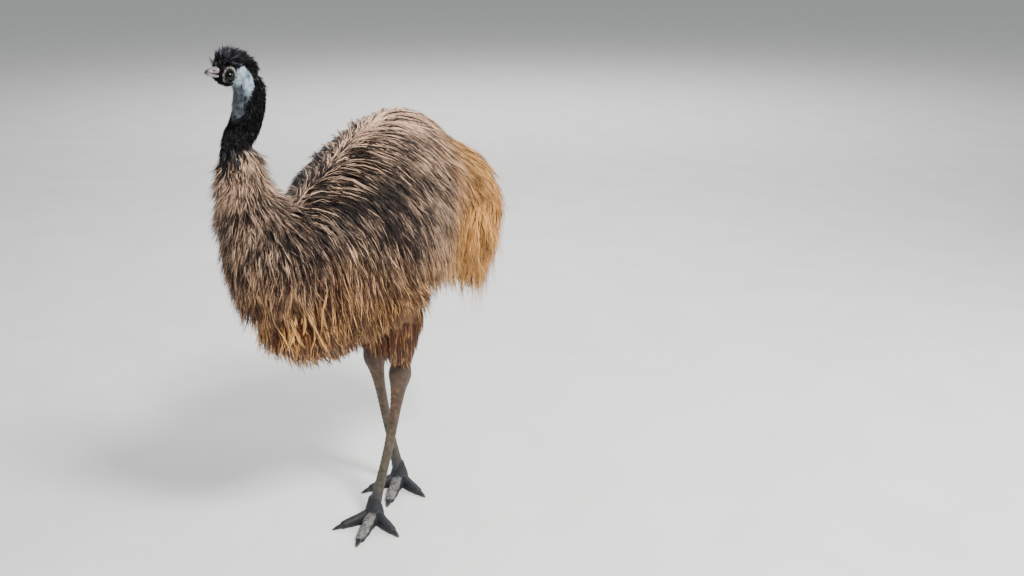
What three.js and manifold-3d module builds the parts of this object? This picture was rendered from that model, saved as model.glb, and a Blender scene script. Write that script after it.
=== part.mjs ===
// A life-size emu standing with its left foot a pace ahead of its right, as a still display model.
// Millimetres. +Z is up, the bird faces -Y, its left side is +X, and its soles rest on Z = 0.
// The origin is on the floor under the middle of the bounding box.

import * as THREE from "three";
import { mergeVertices } from "three/addons/utils/BufferGeometryUtils.js";
import Module from "manifold-3d";

const wasm = await Module();
wasm.setup();

// Driving dimensions. Distances along the body are Y, from the pace's middle on the floor.
const GAP = 0.4; // clearance between nodes that touch
const SEED = 20417;

const TORSO = {
  middle: -54, // Y of the trunk's middle
  half: 372, // half its length
  width: [136, 160, 167, 166, 134], // half widths, chest to rump
  axis: [782, 814, 851, 872, 886], // heights of its axis
  rise: [200, 204, 266, 326, 268], // from the axis up to the back
  drop: [318, 296, 244, 232, 262], // from the axis down to the belly
};
const NECK = {
  // its line in the bird's middle plane, from inside the chest to inside the head
  line: [
    [-345, 800],
    [-398, 875],
    [-440, 960],
    [-456, 1035],
    [-455, 1090],
    [-463, 1134],
    [-437, 1172],
    [-421, 1212],
    [-416, 1252],
    [-430, 1300],
  ],
  wide: [112, 104, 84, 64, 51, 41, 36, 37, 38, 30],
  deep: [122, 112, 88, 65, 51, 42, 38, 39, 41, 32],
  baseEnd: 0.4, // share of the line where the neck's base ends and its middle starts
  ruffEnd: 0.664, // share where the shaggy ruff ends and the black upper neck starts
};
const HEAD = {
  eyes: [0, -468, 1308], // midpoint between the eyes
  turn: 3, // degrees towards its left
  lift: 9, // degrees up
  // from the bill back: distance behind the eyes, top, bottom, half width
  skull: [
    [-41, 10, -17, 14],
    [-35, 19, -21, 19],
    [-25, 30, -26, 25],
    [-10, 39, -31, 29],
    [7, 43, -33, 31],
    [26, 43, -36, 34],
    [46, 38, -36, 33],
    [66, 22, -28, 23],
  ],
};
const EYE = { radius: 15, apart: 33, forward: 16, high: -10, lid: 2, wide: 9, tall: 12.5, out: 0.4 };
const EAR = { out: 32, back: 28, high: -9, deep: 4.5, wide: 5, tall: 7, rim: 2.5, sunk: 1.5 };
const MOUTH = { high: -8.5, corner: -20, gap: 1, deep: 3 };
const BILL = { length: 30, nostril: 12, lower: 27 };
const CREST = {
  rows: 4,
  across: 4,
  arc: 62, // degrees down each side of the crown
  front: -24, // behind the eyes
  back: 46,
  wide: 28, // half the width and the height that its roots lie on
  tall: 34,
  length: 24,
  width: 19,
};
const TAIL = {
  line: [[170, 966], [276, 938], [332, 850], [336, 718]], // in the bird's middle plane
  wide: [132, 140, 132, 92],
  deep: [96, 92, 84, 48],
};
const LEG = {
  wide: [74, 70, 54, 36, 25, 29, 20, 15, 13.5, 13, 12.5, 13, 15, 18],
  deep: [94, 86, 62, 40, 26, 34, 23, 17, 15, 14.5, 14, 14, 16, 20],
  hockTop: 0.335, // share of the leg where the feathered thigh ends
  scutes: 12,
  scutesFrom: 0.45, // shares of the leg between which the scutes lie
  scutesTo: 0.985,
  proud: 1.8, // how far a scute's lower edge stands out
};
const LEGS = {
  // hip, knee, drumstick, shank and ankle, with the degrees the foot turns towards the left
  left: {
    line: [[98, -66, 668], [93, -18, 556], [80, -8, 440], [69, -44, 245], [57, -110, 40]],
    heading: 26,
  },
  right: {
    line: [[-98, -16, 668], [-94, 30, 560], [-80, 44, 452], [-68, 74, 250], [-47, 104, 40]],
    heading: 30,
  },
};
const FOOT = { radius: 28, height: 58 };
const FLOOR_CLEAR = 5; // how far a cutter reaches under the floor
const TOES = [
  { name: "middle", turn: 0, length: 134, width: 38 },
  { name: "inner", turn: -50, length: 104, width: 32 },
  { name: "outer", turn: 50, length: 104, width: 32 },
];
const TOE_SIDES = 8;
const TOE_SCUTES = { count: 5, from: 0.34, to: 0.96, proud: 2 };
const CLAW = { length: 26, width: 18, height: 15 };

// The coat. Angles of the rows of roots run from the parting down, with the length of their locks.
const COAT = {
  sunk: 12, // how deep a lock's root sits in its node
  ridge: 5, // thickness of a lock along its middle
  layer: 6.5, // every other lock of a row lies this much higher
  rows: [[10, 220], [36, 245], [66, 245], [97, 230], [134, 180]],
  columns: 7,
  reach: [-0.88, 0.86], // from the chest to the rump
  wide: 114,
  parting: 34, // height of the tips over the core along the back
  flank: 50, // and on the flanks
};
const RUFF = {
  base: { from: 0.1, to: 0.34, rows: 3, around: 6, long: 120, wide: 76, depth: 40 },
  middle: { from: 0.43, to: 0.64, rows: 3, around: 6, long: 92, wide: 56, depth: 32 },
};
const TAIL_COAT = { from: 0.26, to: 0.88, rows: 3, around: 6, long: 195, wide: 96, depth: 34 };
const THIGH_COAT = { from: 0.08, to: 0.2, rows: 2, around: 6, long: 110, wide: 64, depth: 24 };

const SIDEWAYS = new THREE.Vector3(1, 0, 0);
const vec = (x, y, z) => new THREE.Vector3(x, y, z);
const { lerp } = THREE.MathUtils;

// Finishes
const finish = (color, roughness) => new THREE.MeshStandardMaterial({ color, roughness, metalness: 0 });
const plumage = finish(0x5b4636, 0.9);
const tailPlumage = finish(0xa8743e, 0.9);
const neckPlumage = finish(0x8d7866, 0.9);
const blackDown = finish(0x16161a, 0.85);
const billHorn = finish(0x5d555a, 0.45);
const eyeGloss = finish(0x0c0a09, 0.08);
const legScale = finish(0x5a4a40, 0.6);
const footScale = finish(0x2c2d33, 0.6);
const clawHorn = finish(0x17171a, 0.4);

// A smooth function of a share from 0 to 1, through evenly spaced values.
function through(values) {
  const last = values.length - 1;
  const at = (k) => values[THREE.MathUtils.clamp(k, 0, last)];
  return (share) => {
    const place = THREE.MathUtils.clamp(share, 0, 1) * last;
    const k = Math.min(Math.floor(place), last - 1);
    const t = place - k;
    const [a, b, c, d] = [at(k - 1), at(k), at(k + 1), at(k + 2)];
    const ease = (2 * a - 5 * b + 4 * c - d) * t * t + (3 * b - a - 3 * c + d) * t * t * t;
    return b + ((c - a) * t + ease) / 2;
  };
}

// Seeded draws from 0 to 1, the same on every run.
function drawsFrom(seed) {
  let state = seed;
  return () => {
    state = (state + 0x6d2b79f5) | 0;
    let t = Math.imul(state ^ (state >>> 15), 1 | state);
    t = (t + Math.imul(t ^ (t >>> 7), 61 | t)) ^ t;
    return ((t ^ (t >>> 14)) >>> 0) / 4294967296;
  };
}

// A geometry's closed surface as a solid that can be joined and cut.
function solid(geometry) {
  const bare = new THREE.BufferGeometry();
  bare.setAttribute("position", geometry.getAttribute("position"));
  bare.setIndex(geometry.index);
  const merged = mergeVertices(bare, 1e-3);
  const corners = merged.index.array;
  const kept = [];
  for (let i = 0; i < corners.length; i += 3) {
    const [a, b, c] = corners.slice(i, i + 3);
    if (a !== b && b !== c && c !== a) kept.push(a, b, c);
  }
  const vertProperties = merged.getAttribute("position").array;
  return new wasm.Manifold(new wasm.Mesh({ numProp: 3, vertProperties, triVerts: Uint32Array.from(kept) }));
}

// The largest closed surface of a solid, which drops loose scraps and fills sealed hollows.
function largest(joined) {
  const bodies = joined.decompose();
  return bodies.reduce((best, body) => (body.volume() > best.volume() ? body : best));
}

// The geometry of a solid's surface.
function surface(shape) {
  const { numProp, vertProperties, triVerts } = shape.getMesh();
  const points = new Float32Array((vertProperties.length / numProp) * 3);
  for (let i = 0; i < points.length / 3; i++) {
    points.set(vertProperties.subarray(i * numProp, i * numProp + 3), i * 3);
  }
  const geometry = new THREE.BufferGeometry();
  geometry.setAttribute("position", new THREE.BufferAttribute(points, 3));
  geometry.setIndex(new THREE.BufferAttribute(triVerts, 1));
  return geometry;
}

// A node: the largest closed surface of its shape, once points that fall together are merged.
function mesh(name, shape, material) {
  const geometry = surface(largest(solid(surface(shape))));
  geometry.computeVertexNormals();
  const made = new THREE.Mesh(geometry, material);
  made.name = name;
  return made;
}

// A closed solid over rings of points that run anticlockwise seen from the last ring's side.
function over(rings) {
  const sides = rings[0].length;
  const points = rings.flat();
  const middle = (ring) => ring.reduce((sum, p) => sum.add(p), vec(0, 0, 0)).divideScalar(sides);
  const start = points.push(middle(rings[0])) - 1;
  const end = points.push(middle(rings.at(-1))) - 1;
  const top = (rings.length - 1) * sides;
  const faces = [];
  for (let i = 0; i < sides; i++) {
    const j = (i + 1) % sides;
    faces.push(start, j, i, end, top + i, top + j);
    for (let k = 0; k < top; k += sides) {
      faces.push(k + i, k + j, k + sides + j, k + i, k + sides + j, k + sides + i);
    }
  }
  const geometry = new THREE.BufferGeometry().setFromPoints(points);
  geometry.setIndex(faces);
  return solid(geometry);
}

// The trunk: an ellipsoid about a curved axis, with its own rise, drop and width along it.
const torso = {
  width: through(TORSO.width),
  axis: through(TORSO.axis),
  rise: through(TORSO.rise),
  drop: through(TORSO.drop),
};

// A point on the trunk, from its share along (-1 at the chest, 1 at the rump) and its angle from the
// back's parting.
function torsoPoint(along, angle, grow = 0) {
  const share = (along + 1) / 2;
  const round = Math.sqrt(Math.max(0, 1 - along * along));
  const lift = Math.cos(angle) > 0 ? torso.rise(share) : torso.drop(share);
  return vec(
    (torso.width(share) + grow) * round * Math.sin(angle),
    TORSO.middle + (TORSO.half + grow) * along,
    torso.axis(share) + (lift + grow) * round * Math.cos(angle),
  );
}

// About how far a point is outside the trunk.
function torsoLevel(p) {
  const along = (p.y - TORSO.middle) / TORSO.half;
  const share = THREE.MathUtils.clamp((along + 1) / 2, 0, 1);
  const high = p.z - torso.axis(share);
  const lift = high > 0 ? torso.rise(share) : torso.drop(share);
  const reach = Math.hypot(p.x / torso.width(share), high / lift, along);
  return Math.hypot(p.x, high, p.y - TORSO.middle) * (1 - 1 / reach);
}

const TORSO_RINGS = 16;
const TORSO_SIDES = 24;
function torsoCore(grow) {
  const rings = [];
  for (let k = 0; k <= TORSO_RINGS; k++) {
    const along = -Math.cos((Math.PI * k) / TORSO_RINGS);
    const ring = [];
    for (let i = 0; i < TORSO_SIDES; i++) {
      ring.push(torsoPoint(along, (2 * Math.PI * i) / TORSO_SIDES, grow));
    }
    rings.push(ring);
  }
  return over(rings);
}

// A limb or neck: oval sections along a smooth line. wide and deep are half sizes as functions of the
// share along it.
function limb(line, wide, deep) {
  const curve = new THREE.CatmullRomCurve3(line, false, "centripetal");
  const at = (share) => {
    const tangent = curve.getTangentAt(share);
    const side = SIDEWAYS.clone().projectOnPlane(tangent).normalize();
    const back = tangent.clone().cross(side);
    return { centre: curve.getPointAt(share), side, back, tangent };
  };
  const around = (share, turn, grow = 0) => {
    const { centre, side, back } = at(share);
    return centre
      .addScaledVector(side, (wide(share) + grow) * Math.cos(turn))
      .addScaledVector(back, (deep(share) + grow) * Math.sin(turn));
  };
  const stations = 40;
  const shares = Array.from({ length: stations + 1 }, (_, k) => k / stations);
  const samples = shares.map((share) => ({ share, ...at(share) }));
  const level = (p) => {
    let best = samples[0];
    for (const s of samples) if (s.centre.distanceToSquared(p) < best.centre.distanceToSquared(p)) best = s;
    const off = p.clone().sub(best.centre);
    const sideways = off.dot(best.side) / wide(best.share);
    const backwards = off.dot(best.back) / deep(best.share);
    const reach = Math.hypot(sideways, backwards, 1e-6);
    return off.length() * (1 - 1 / reach);
  };
  const tube = (sides, steps, grow = 0, from = 0, to = 1) => {
    const turns = Array.from({ length: sides }, (_, i) => (2 * Math.PI * i) / sides);
    const ring = (share) => turns.map((turn) => around(share, turn, grow));
    return over(Array.from({ length: steps + 1 }, (_, k) => ring(lerp(from, to, k / steps))));
  };
  return { at, around, level, tube };
}

// The outward direction of a body at a point, from how its level changes.
function outward(level, p) {
  const step = 1.5;
  const change = (x, y, z) => level(vec(p.x + x, p.y + y, p.z + z)) - level(vec(p.x - x, p.y - y, p.z - z));
  return vec(change(step, 0, 0), change(0, step, 0), change(0, 0, step)).normalize();
}

const LOCK_STEPS = 10;
const LOCK_STATIONS = [0, 3, 7]; // steps that carry a section; the tip is one point past the last
const LOCK_PROFILE = [0.66, 1, 0.8]; // share of the full width at each

// The line of a lock that starts on a body, climbs evenly to its depth over it, and follows the lie.
// Where the body turns under, the lock leaves it and hangs.
function lockLine({ level, lie, root, length, depth, raised = 0 }) {
  let out = outward(level, root);
  let heading = lie(root, out);
  const start = root.clone().addScaledVector(out, -COAT.sunk).addScaledVector(heading, -COAT.sunk);
  const line = [{ point: start, out, heading }];
  let point = root.clone();
  for (let k = 1; k <= LOCK_STEPS + 1; k++) {
    out = outward(level, point);
    heading = heading.clone().multiplyScalar(0.5).add(lie(point, out)).normalize();
    point = point.clone().addScaledVector(heading, length / LOCK_STEPS);
    const short = (depth * k) / LOCK_STEPS + raised * Math.min(1, k / 2) - level(point);
    if (short > 0 || out.z > -0.15) point.addScaledVector(out, short);
    line.push({ point, out, heading });
  }
  return line;
}

// A flat lock, widest in its middle, with a low ridge on its outer face and a tapered tip.
function lock({ line, width }, grow) {
  const points = [];
  let side = vec(0, 0, 0);
  LOCK_STATIONS.forEach((step, k) => {
    const { point, out } = line[step];
    const ahead = line[step + 1].point.clone().sub(point).normalize();
    side = side.multiplyScalar(1.5).add(ahead.clone().cross(out)).projectOnPlane(ahead).normalize();
    const up = side.clone().cross(ahead);
    // the thin edges need the most growth to stay inside the grown section
    const half = ((width * LOCK_PROFILE[k]) / 2) * (1 + (3 * grow) / COAT.ridge) + grow;
    points.push(point.clone().addScaledVector(side, half).addScaledVector(up, -grow));
    points.push(point.clone().addScaledVector(side, -half).addScaledVector(up, -grow));
    points.push(point.clone().addScaledVector(up, COAT.ridge * LOCK_PROFILE[k] + grow));
  });
  const end = line[LOCK_STEPS];
  const tip = points.push(end.point.clone().addScaledVector(end.heading, grow * 8)) - 1;
  const last = (LOCK_STATIONS.length - 1) * 3;
  const faces = [0, 2, 1];
  for (let i = 0; i < 3; i++) {
    const j = (i + 1) % 3;
    for (let k = 0; k < last; k += 3) faces.push(k + i, k + j, k + 3 + j, k + i, k + 3 + j, k + 3 + i);
    faces.push(last + i, last + j, tip);
  }
  const geometry = new THREE.BufferGeometry().setFromPoints(points);
  geometry.setIndex(faces);
  return solid(geometry);
}

// A lock's line and width, made smaller until the lock doesn't cross itself.
function fitted({ length, width, ...rest }) {
  for (let scale = 1; scale > 0.3; scale *= 0.85) {
    const made = { line: lockLine({ ...rest, length: length * scale }), width: width * scale };
    const shape = lock(made, GAP);
    const volume = shape.volume();
    if (volume > 0 && Math.abs(shape.add(shape).volume() - volume) < 1) return [made];
  }
  return [];
}

const join = (pieces) => wasm.Manifold.union(pieces);
const locksOf = (lines, grow = 0) => join(lines.map((line) => lock(line, grow)));
const varied = (draw, spread) => 1 + spread * (2 * draw() - 1);

// The lie of the trunk's coat: from the parting outwards and back, then down, and back under the belly.
function torsoLie(p, out) {
  const back = THREE.MathUtils.mapLinear(THREE.MathUtils.clamp(p.y, -400, 300), -400, 300, 0.2, 0.75);
  const sideways = Math.sign(p.x) * 0.9 * Math.max(out.z, 0);
  const lie = vec(sideways, back + 0.8 * Math.max(-out.z, 0), -1).projectOnPlane(out);
  if (out.z < 0) lie.x *= 0.3;
  return lie.normalize();
}

// The trunk's locks, in rows from the parting down and columns from the chest to the rump.
function torsoCoat() {
  const draw = drawsFrom(SEED);
  const lines = [];
  COAT.rows.forEach(([row, long], r) => {
    for (let c = 0; c < COAT.columns; c++) {
      for (const side of [-1, 1]) {
        const place = (c + 0.25 + (r % 2) / 2 + 0.2 * (draw() - 0.5)) / COAT.columns;
        const along = lerp(...COAT.reach, place);
        const angle = THREE.MathUtils.degToRad(row + 4 * (draw() - 0.5));
        const low = THREE.MathUtils.smoothstep(row, 0, 80);
        const depth = lerp(COAT.parting, COAT.flank, low) * varied(draw, 0.06);
        const length = long * varied(draw, 0.08);
        const width = COAT.wide * varied(draw, 0.08);
        const root = torsoPoint(along, side * angle);
        const raised = (c % 2) * COAT.layer;
        lines.push(...fitted({ level: torsoLevel, lie: torsoLie, root, length, width, depth, raised }));
      }
    }
  });
  return lines;
}

// Locks in rings round a limb. lie gives their direction at a point.
function limbCoat(body, lie, coat, seed) {
  const draw = drawsFrom(SEED + seed);
  const lines = [];
  for (let r = 0; r < coat.rows; r++) {
    for (let c = 0; c < coat.around; c++) {
      const share = lerp(coat.from, coat.to, r / (coat.rows - 1)) + 0.01 * (draw() - 0.5);
      const turn = (2 * Math.PI * (c + (r % 2) / 2 + 0.2 * (draw() - 0.5))) / coat.around;
      const root = body.around(share, turn);
      const length = coat.long * varied(draw, 0.12);
      const depth = coat.depth * varied(draw, 0.1);
      const width = coat.wide * varied(draw, 0.1);
      const raised = (c % 2) * COAT.layer;
      lines.push(...fitted({ level: body.level, lie, root, length, width, depth, raised }));
    }
  }
  return lines;
}

const inPlane = (pairs) => pairs.map(([y, z]) => vec(0, y, z));
const neck = limb(inPlane(NECK.line), through(NECK.wide), through(NECK.deep));
const tail = limb(inPlane(TAIL.line), through(TAIL.wide), through(TAIL.deep));

const NECK_SIDES = 14;
const neckLie = (p, out) => vec(0, 0, -1).projectOnPlane(out).normalize();
const tailLie = (p, out) => vec(0, 0.12, -1).projectOnPlane(out).normalize();
const baseCoat = limbCoat(neck, neckLie, RUFF.base, 1);
const middleCoat = limbCoat(neck, neckLie, RUFF.middle, 5);
const tailCoat = limbCoat(tail, tailLie, TAIL_COAT, 2);
const baseTube = (grow) => neck.tube(NECK_SIDES, 5, grow, 0, NECK.baseEnd);
const middleTube = (grow) => neck.tube(NECK_SIDES, 5, grow, NECK.baseEnd + 0.001, NECK.ruffEnd);
const tailTube = (grow) => tail.tube(16, 6, grow);

// Legs, from inside the trunk down to the ankle
const legs = {};
for (const [side, { line }] of Object.entries(LEGS)) {
  const leg = limb(line.map(([x, y, z]) => vec(x, y, z)), through(LEG.wide), through(LEG.deep));
  legs[side] = { leg, coat: limbCoat(leg, neckLie, THIGH_COAT, side === "left" ? 3 : 4) };
}
const thighTube = (leg, grow) => leg.tube(12, 5, grow, 0, LEG.hockTop);

const coat = torsoCoat();
const trunkGrown = torsoCore(GAP);
const coatGrown = locksOf(coat, GAP);
const limbsGrown = join([
  baseTube(GAP),
  middleTube(GAP),
  tailTube(GAP),
  thighTube(legs.left.leg, GAP),
  thighTube(legs.right.leg, GAP),
]);
const trunk = torsoCore(0).add(locksOf(coat).subtract(limbsGrown));

// A shaggy limb: its tube up to the trunk, with its locks clear of the trunk and its coat.
function shaggy(tube, lines) {
  const locks = locksOf(lines).subtract(coatGrown).subtract(trunk);
  return tube.add(locks).subtract(trunkGrown);
}

const emu = new THREE.Group();
emu.add(mesh("torso", trunk, plumage));
emu.add(mesh("tail", shaggy(tailTube(0), tailCoat), tailPlumage));

// The head, in its own frame: the origin is between the eyes and the bill points along -Y.
const headPlace = new THREE.Matrix4().compose(
  vec(...HEAD.eyes),
  new THREE.Quaternion().setFromEuler(
    new THREE.Euler(THREE.MathUtils.degToRad(-HEAD.lift), 0, THREE.MathUtils.degToRad(HEAD.turn), "ZYX"),
  ),
  vec(1, 1, 1),
);

// An oval with its own top and bottom, across the Y axis.
function oval(y, top, bottom, half, sides, grow = 0) {
  const middle = (top + bottom) / 2;
  const tall = (top - bottom) / 2 + grow;
  return Array.from({ length: sides }, (_, i) => {
    const turn = (2 * Math.PI * i) / sides;
    return vec((half + grow) * Math.sin(turn), y, middle + tall * Math.cos(turn));
  });
}

function skull(grow) {
  const sides = 14;
  const steps = 8;
  const section = [0, 1, 2, 3].map((k) => through(HEAD.skull.map((row) => row[k])));
  const rings = Array.from({ length: steps + 1 }, (_, k) => {
    const [y, top, bottom, half] = section.map((at) => at(k / steps));
    return oval(y, top, bottom, half, sides, grow);
  });
  rings.push(oval(HEAD.skull.at(-1)[0] + 3 + grow, 9, -14, 11, sides, grow));
  return over(rings);
}

const ball = (radius, across, down) => new THREE.SphereGeometry(radius, across, down).rotateX(Math.PI / 2);
const eyeAt = (side) => vec((side * EYE.apart) / 2, -EYE.forward, EYE.high);
const sided = { left: 1, right: -1 };

// The lid opening: an oval prism that looks out and a little forward, wider at its outer end.
function lidOpening(side) {
  const deep = 30;
  const prism = new THREE.CylinderGeometry(1, 0.86, deep, 12).scale(EYE.wide, 1, EYE.tall);
  prism.rotateZ((-side * Math.PI) / 2);
  prism.translate(side * EYE.radius, 0, 0).rotateZ(-side * EYE.out);
  const place = eyeAt(side);
  return solid(prism.translate(place.x, place.y, place.z));
}

// The ear: a cup sunk behind and under the eye, inside a low rim.
function ear(side, grow) {
  const cup = ball(1, 8, 6).scale(EAR.deep, EAR.wide + grow, EAR.tall + grow);
  return solid(cup.translate(side * (EAR.out + (grow ? 0 : EAR.sunk)), EAR.back, EAR.high));
}

// The crown's tufts, standing up and back from the skull.
function crest() {
  const draw = drawsFrom(SEED + 9);
  const tufts = [];
  for (let r = 0; r < CREST.rows; r++) {
    for (let c = 0; c < CREST.across; c++) {
      const turn = lerp(-CREST.arc, CREST.arc, c / (CREST.across - 1)) + 8 * (draw() - 0.5);
      const angle = THREE.MathUtils.degToRad(turn);
      const y = lerp(CREST.front, CREST.back, (r + 0.5 * (c % 2)) / (CREST.rows - 0.5));
      const root = vec(CREST.wide * Math.sin(angle), y, 3 + CREST.tall * Math.cos(angle));
      const stand = vec(Math.sin(angle), 0.9 + 0.4 * draw(), Math.cos(angle) + 0.2).normalize();
      const side = stand.clone().cross(vec(0, 1, 0)).normalize();
      const long = CREST.length * varied(draw, 0.25);
      const ring = (share, half) => {
        const bend = vec(0, 4, -4).multiplyScalar(share * share);
        const middle = root.clone().addScaledVector(stand, long * share).add(bend);
        const flat = side.clone().cross(stand).multiplyScalar(half * 0.8);
        const edge = side.clone().multiplyScalar(half);
        return [middle.clone().sub(edge), middle.clone().add(flat), middle.clone().add(edge)];
      };
      tufts.push(over([ring(0, CREST.width * 0.5), ring(0.6, CREST.width * 0.42), ring(1, 0.6)]));
    }
  }
  return join(tufts);
}

const upperTube = (grow) => neck.tube(NECK_SIDES, 8, grow, NECK.ruffEnd + 0.002, 1);
const neckInHead = upperTube(GAP).transform(headPlace.clone().invert().elements);
const emuHead = new THREE.Group();
emuHead.applyMatrix4(headPlace);
emu.add(emuHead);

const noseAt = HEAD.skull[0][0];
const mouthLine = new THREE.BoxGeometry(90, MOUTH.corner - noseAt, MOUTH.gap);
mouthLine.translate(0, (MOUTH.corner + noseAt) / 2, MOUTH.high);
let headSolid = skull(0).add(crest().subtract(neckInHead));
for (const side of Object.values(sided)) {
  const place = eyeAt(side);
  const shell = solid(ball(EYE.radius + EYE.lid + GAP, 12, 8).translate(place.x, place.y, place.z));
  const socket = solid(ball(EYE.radius + GAP, 12, 8).translate(place.x, place.y, place.z));
  headSolid = headSolid.add(shell).add(ear(side, EAR.rim).subtract(neckInHead)).subtract(ear(side, 0));
  headSolid = headSolid.subtract(socket).subtract(lidOpening(side));
}
headSolid = headSolid.subtract(solid(mouthLine).subtract(skull(-MOUTH.deep)));
emuHead.add(mesh("head", headSolid, blackDown));
for (const [name, side] of Object.entries(sided)) {
  const globe = mesh(`eye_${name}`, solid(ball(EYE.radius, 12, 8)), eyeGloss);
  globe.position.copy(eyeAt(side));
  emuHead.add(globe);
}

// Bill: the upper half hooks down over the lower one, with a nostril on each side.
const BILL_SIDES = 10;
const billFrom = noseAt - GAP;
function billHalf(length, rows) {
  const ring = ([share, ...section]) => oval(billFrom - share * length, ...section, BILL_SIDES);
  return over(rows.map(ring).reverse());
}
let billUpper = billHalf(BILL.length, [
  [0, 8, -8, 14],
  [0.25, 6, -8, 12.5],
  [0.55, 3, -8.5, 10],
  [0.82, -1, -9, 7],
  [0.95, -4.5, -10, 4.5],
  [1, -7, -10.5, 2.5],
]);
const billLower = billHalf(BILL.lower, [
  [0, -9, -16.5, 13],
  [0.4, -9.4, -15.5, 10.5],
  [0.8, -10, -14, 6.5],
  [1, -11, -12.5, 3],
]);
for (const side of [-1, 1]) {
  const nostril = ball(1, 8, 6).scale(3, 4.5, 1.8).translate(side * 10.5, billFrom - BILL.nostril, -1.5);
  billUpper = billUpper.subtract(solid(nostril));
}
emuHead.add(mesh("bill_upper", billUpper, billHorn));
emuHead.add(mesh("bill_lower", billLower, billHorn));

// Neck
const headGrown = skull(GAP).transform(headPlace.elements);
emu.add(mesh("neck_upper", upperTube(0).subtract(headGrown), blackDown));
const middle = middleTube(0).add(locksOf(middleCoat).subtract(baseTube(GAP)).subtract(coatGrown));
const base = shaggy(baseTube(0), baseCoat).subtract(middleTube(GAP)).subtract(locksOf(middleCoat, GAP));
emu.add(mesh("neck_middle", middle.subtract(trunkGrown).subtract(upperTube(GAP)), neckPlumage));
emu.add(mesh("neck_base", base, neckPlumage));

// A shank: its front carries a row of scutes, each standing proud at its lower edge.
function shank(leg) {
  const sides = 10;
  const ring = (share, proud) => {
    const points = [];
    for (let i = 0; i < sides; i++) {
      const turn = (2 * Math.PI * i) / sides;
      points.push(leg.around(share, turn, Math.sin(turn) > 0.4 ? proud : 0));
    }
    return points;
  };
  const hock = [LEG.hockTop + 0.001, 0.36, 0.39, 0.42];
  const rings = hock.map((share) => ring(share, 0));
  const plate = (LEG.scutesTo - LEG.scutesFrom) / LEG.scutes;
  for (let k = 0; k < LEG.scutes; k++) {
    rings.push(ring(LEG.scutesFrom + k * plate, 0.2));
    rings.push(ring(LEG.scutesFrom + (k + 0.9) * plate, LEG.proud));
  }
  rings.push(ring(1, 0));
  return over(rings);
}

// A foot in its own frame: the ankle is over the origin and the middle toe points along -Y.
const footRing = (radius, z) =>
  Array.from({ length: 16 }, (_, i) => {
    const turn = (2 * Math.PI * i) / 16;
    return vec(radius * Math.cos(turn), radius * Math.sin(turn), z);
  });
const footPad = (grow) =>
  over([
    footRing(FOOT.radius - 2 + grow, grow ? -FLOOR_CLEAR : 0),
    footRing(FOOT.radius + 1 + grow, 7),
    footRing(FOOT.radius + grow, 28),
    footRing(FOOT.radius - 8 + grow, FOOT.height + grow - GAP),
  ]);

// A section of a toe, flat where it meets the floor. proud lifts its upper side alone.
function toeRing(toe, share, grow, proud = 0) {
  const half = (toe.width / 2) * lerp(1.1, 0.76, share) * (1 + 0.07 * Math.cos(share * 6 * Math.PI)) + grow;
  const top = lerp(44, 18, share) + grow;
  return Array.from({ length: TOE_SIDES }, (_, i) => {
    const turn = (2 * Math.PI * i) / TOE_SIDES;
    const z = top * (0.42 + 0.58 * Math.cos(turn)) + proud * Math.max(0, Math.cos(turn));
    return vec(half * Math.sin(turn), -share * toe.length, Math.max(grow ? -FLOOR_CLEAR : 0, z));
  });
}
// A toe, with a row of scutes across its upper side, each standing proud at its farther edge.
function toeSolid(toe, grow = 0) {
  const rings = [toeRing(toe, 0.1, grow)];
  const plate = (TOE_SCUTES.to - TOE_SCUTES.from) / TOE_SCUTES.count;
  for (let k = 0; k < TOE_SCUTES.count; k++) {
    rings.push(toeRing(toe, TOE_SCUTES.from + k * plate, grow, 0.2));
    rings.push(toeRing(toe, TOE_SCUTES.from + (k + 0.88) * plate, grow, TOE_SCUTES.proud));
  }
  rings.push(toeRing(toe, 1, grow));
  return over(rings.reverse());
}

// A claw: a curved horn from the toe's end down to the floor.
function claw(toe) {
  const rings = [0, 0.5, 1].map((share) => {
    const half = (CLAW.width / 2) * (1 - 0.85 * share);
    const high = lerp(CLAW.height, 2, share);
    const low = 0.8 * (1 - share) + 0.3;
    return Array.from({ length: 7 }, (_, i) => {
      const turn = (2 * Math.PI * i) / 7;
      const z = (high + low) / 2 + ((high - low) / 2) * Math.cos(turn);
      return vec(half * Math.sin(turn), -toe.length - GAP - share * CLAW.length, z);
    });
  });
  return over(rings.reverse());
}

for (const [side, { leg, coat: thighCoat }] of Object.entries(legs)) {
  emu.add(mesh(`thigh_${side}`, shaggy(thighTube(leg, 0), thighCoat), tailPlumage));

  const [x, y] = LEGS[side].line.at(-1);
  const foot = new THREE.Group();
  foot.position.set(x, y, 0);
  foot.rotation.z = THREE.MathUtils.degToRad(LEGS[side].heading);
  emu.add(foot);
  foot.add(mesh(`foot_${side}`, footPad(0), footScale));
  foot.updateMatrix();
  const padGrown = footPad(GAP).transform(foot.matrix.elements);
  emu.add(mesh(`shank_${side}`, shank(leg).subtract(padGrown), legScale));

  const middleGrown = toeSolid(TOES[0], GAP);
  for (const toe of TOES) {
    let shape = toeSolid(toe).subtract(footPad(GAP));
    const turn = toe.turn * sided[side];
    if (turn) shape = shape.subtract(middleGrown.rotate([0, 0, -turn]));
    const branch = new THREE.Group();
    branch.rotation.z = THREE.MathUtils.degToRad(turn);
    foot.add(branch);
    branch.add(mesh(`toe_${side}_${toe.name}`, shape, footScale));
    branch.add(mesh(`claw_${side}_${toe.name}`, claw(toe), clawHorn));
  }
}

// The origin goes to the floor under the middle of the bounding box.
const bounds = new THREE.Box3().setFromObject(emu, true);
const centre = bounds.getCenter(vec(0, 0, 0));
emu.position.set(-centre.x, -centre.y, 0);

export default emu;
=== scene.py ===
import math

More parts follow.
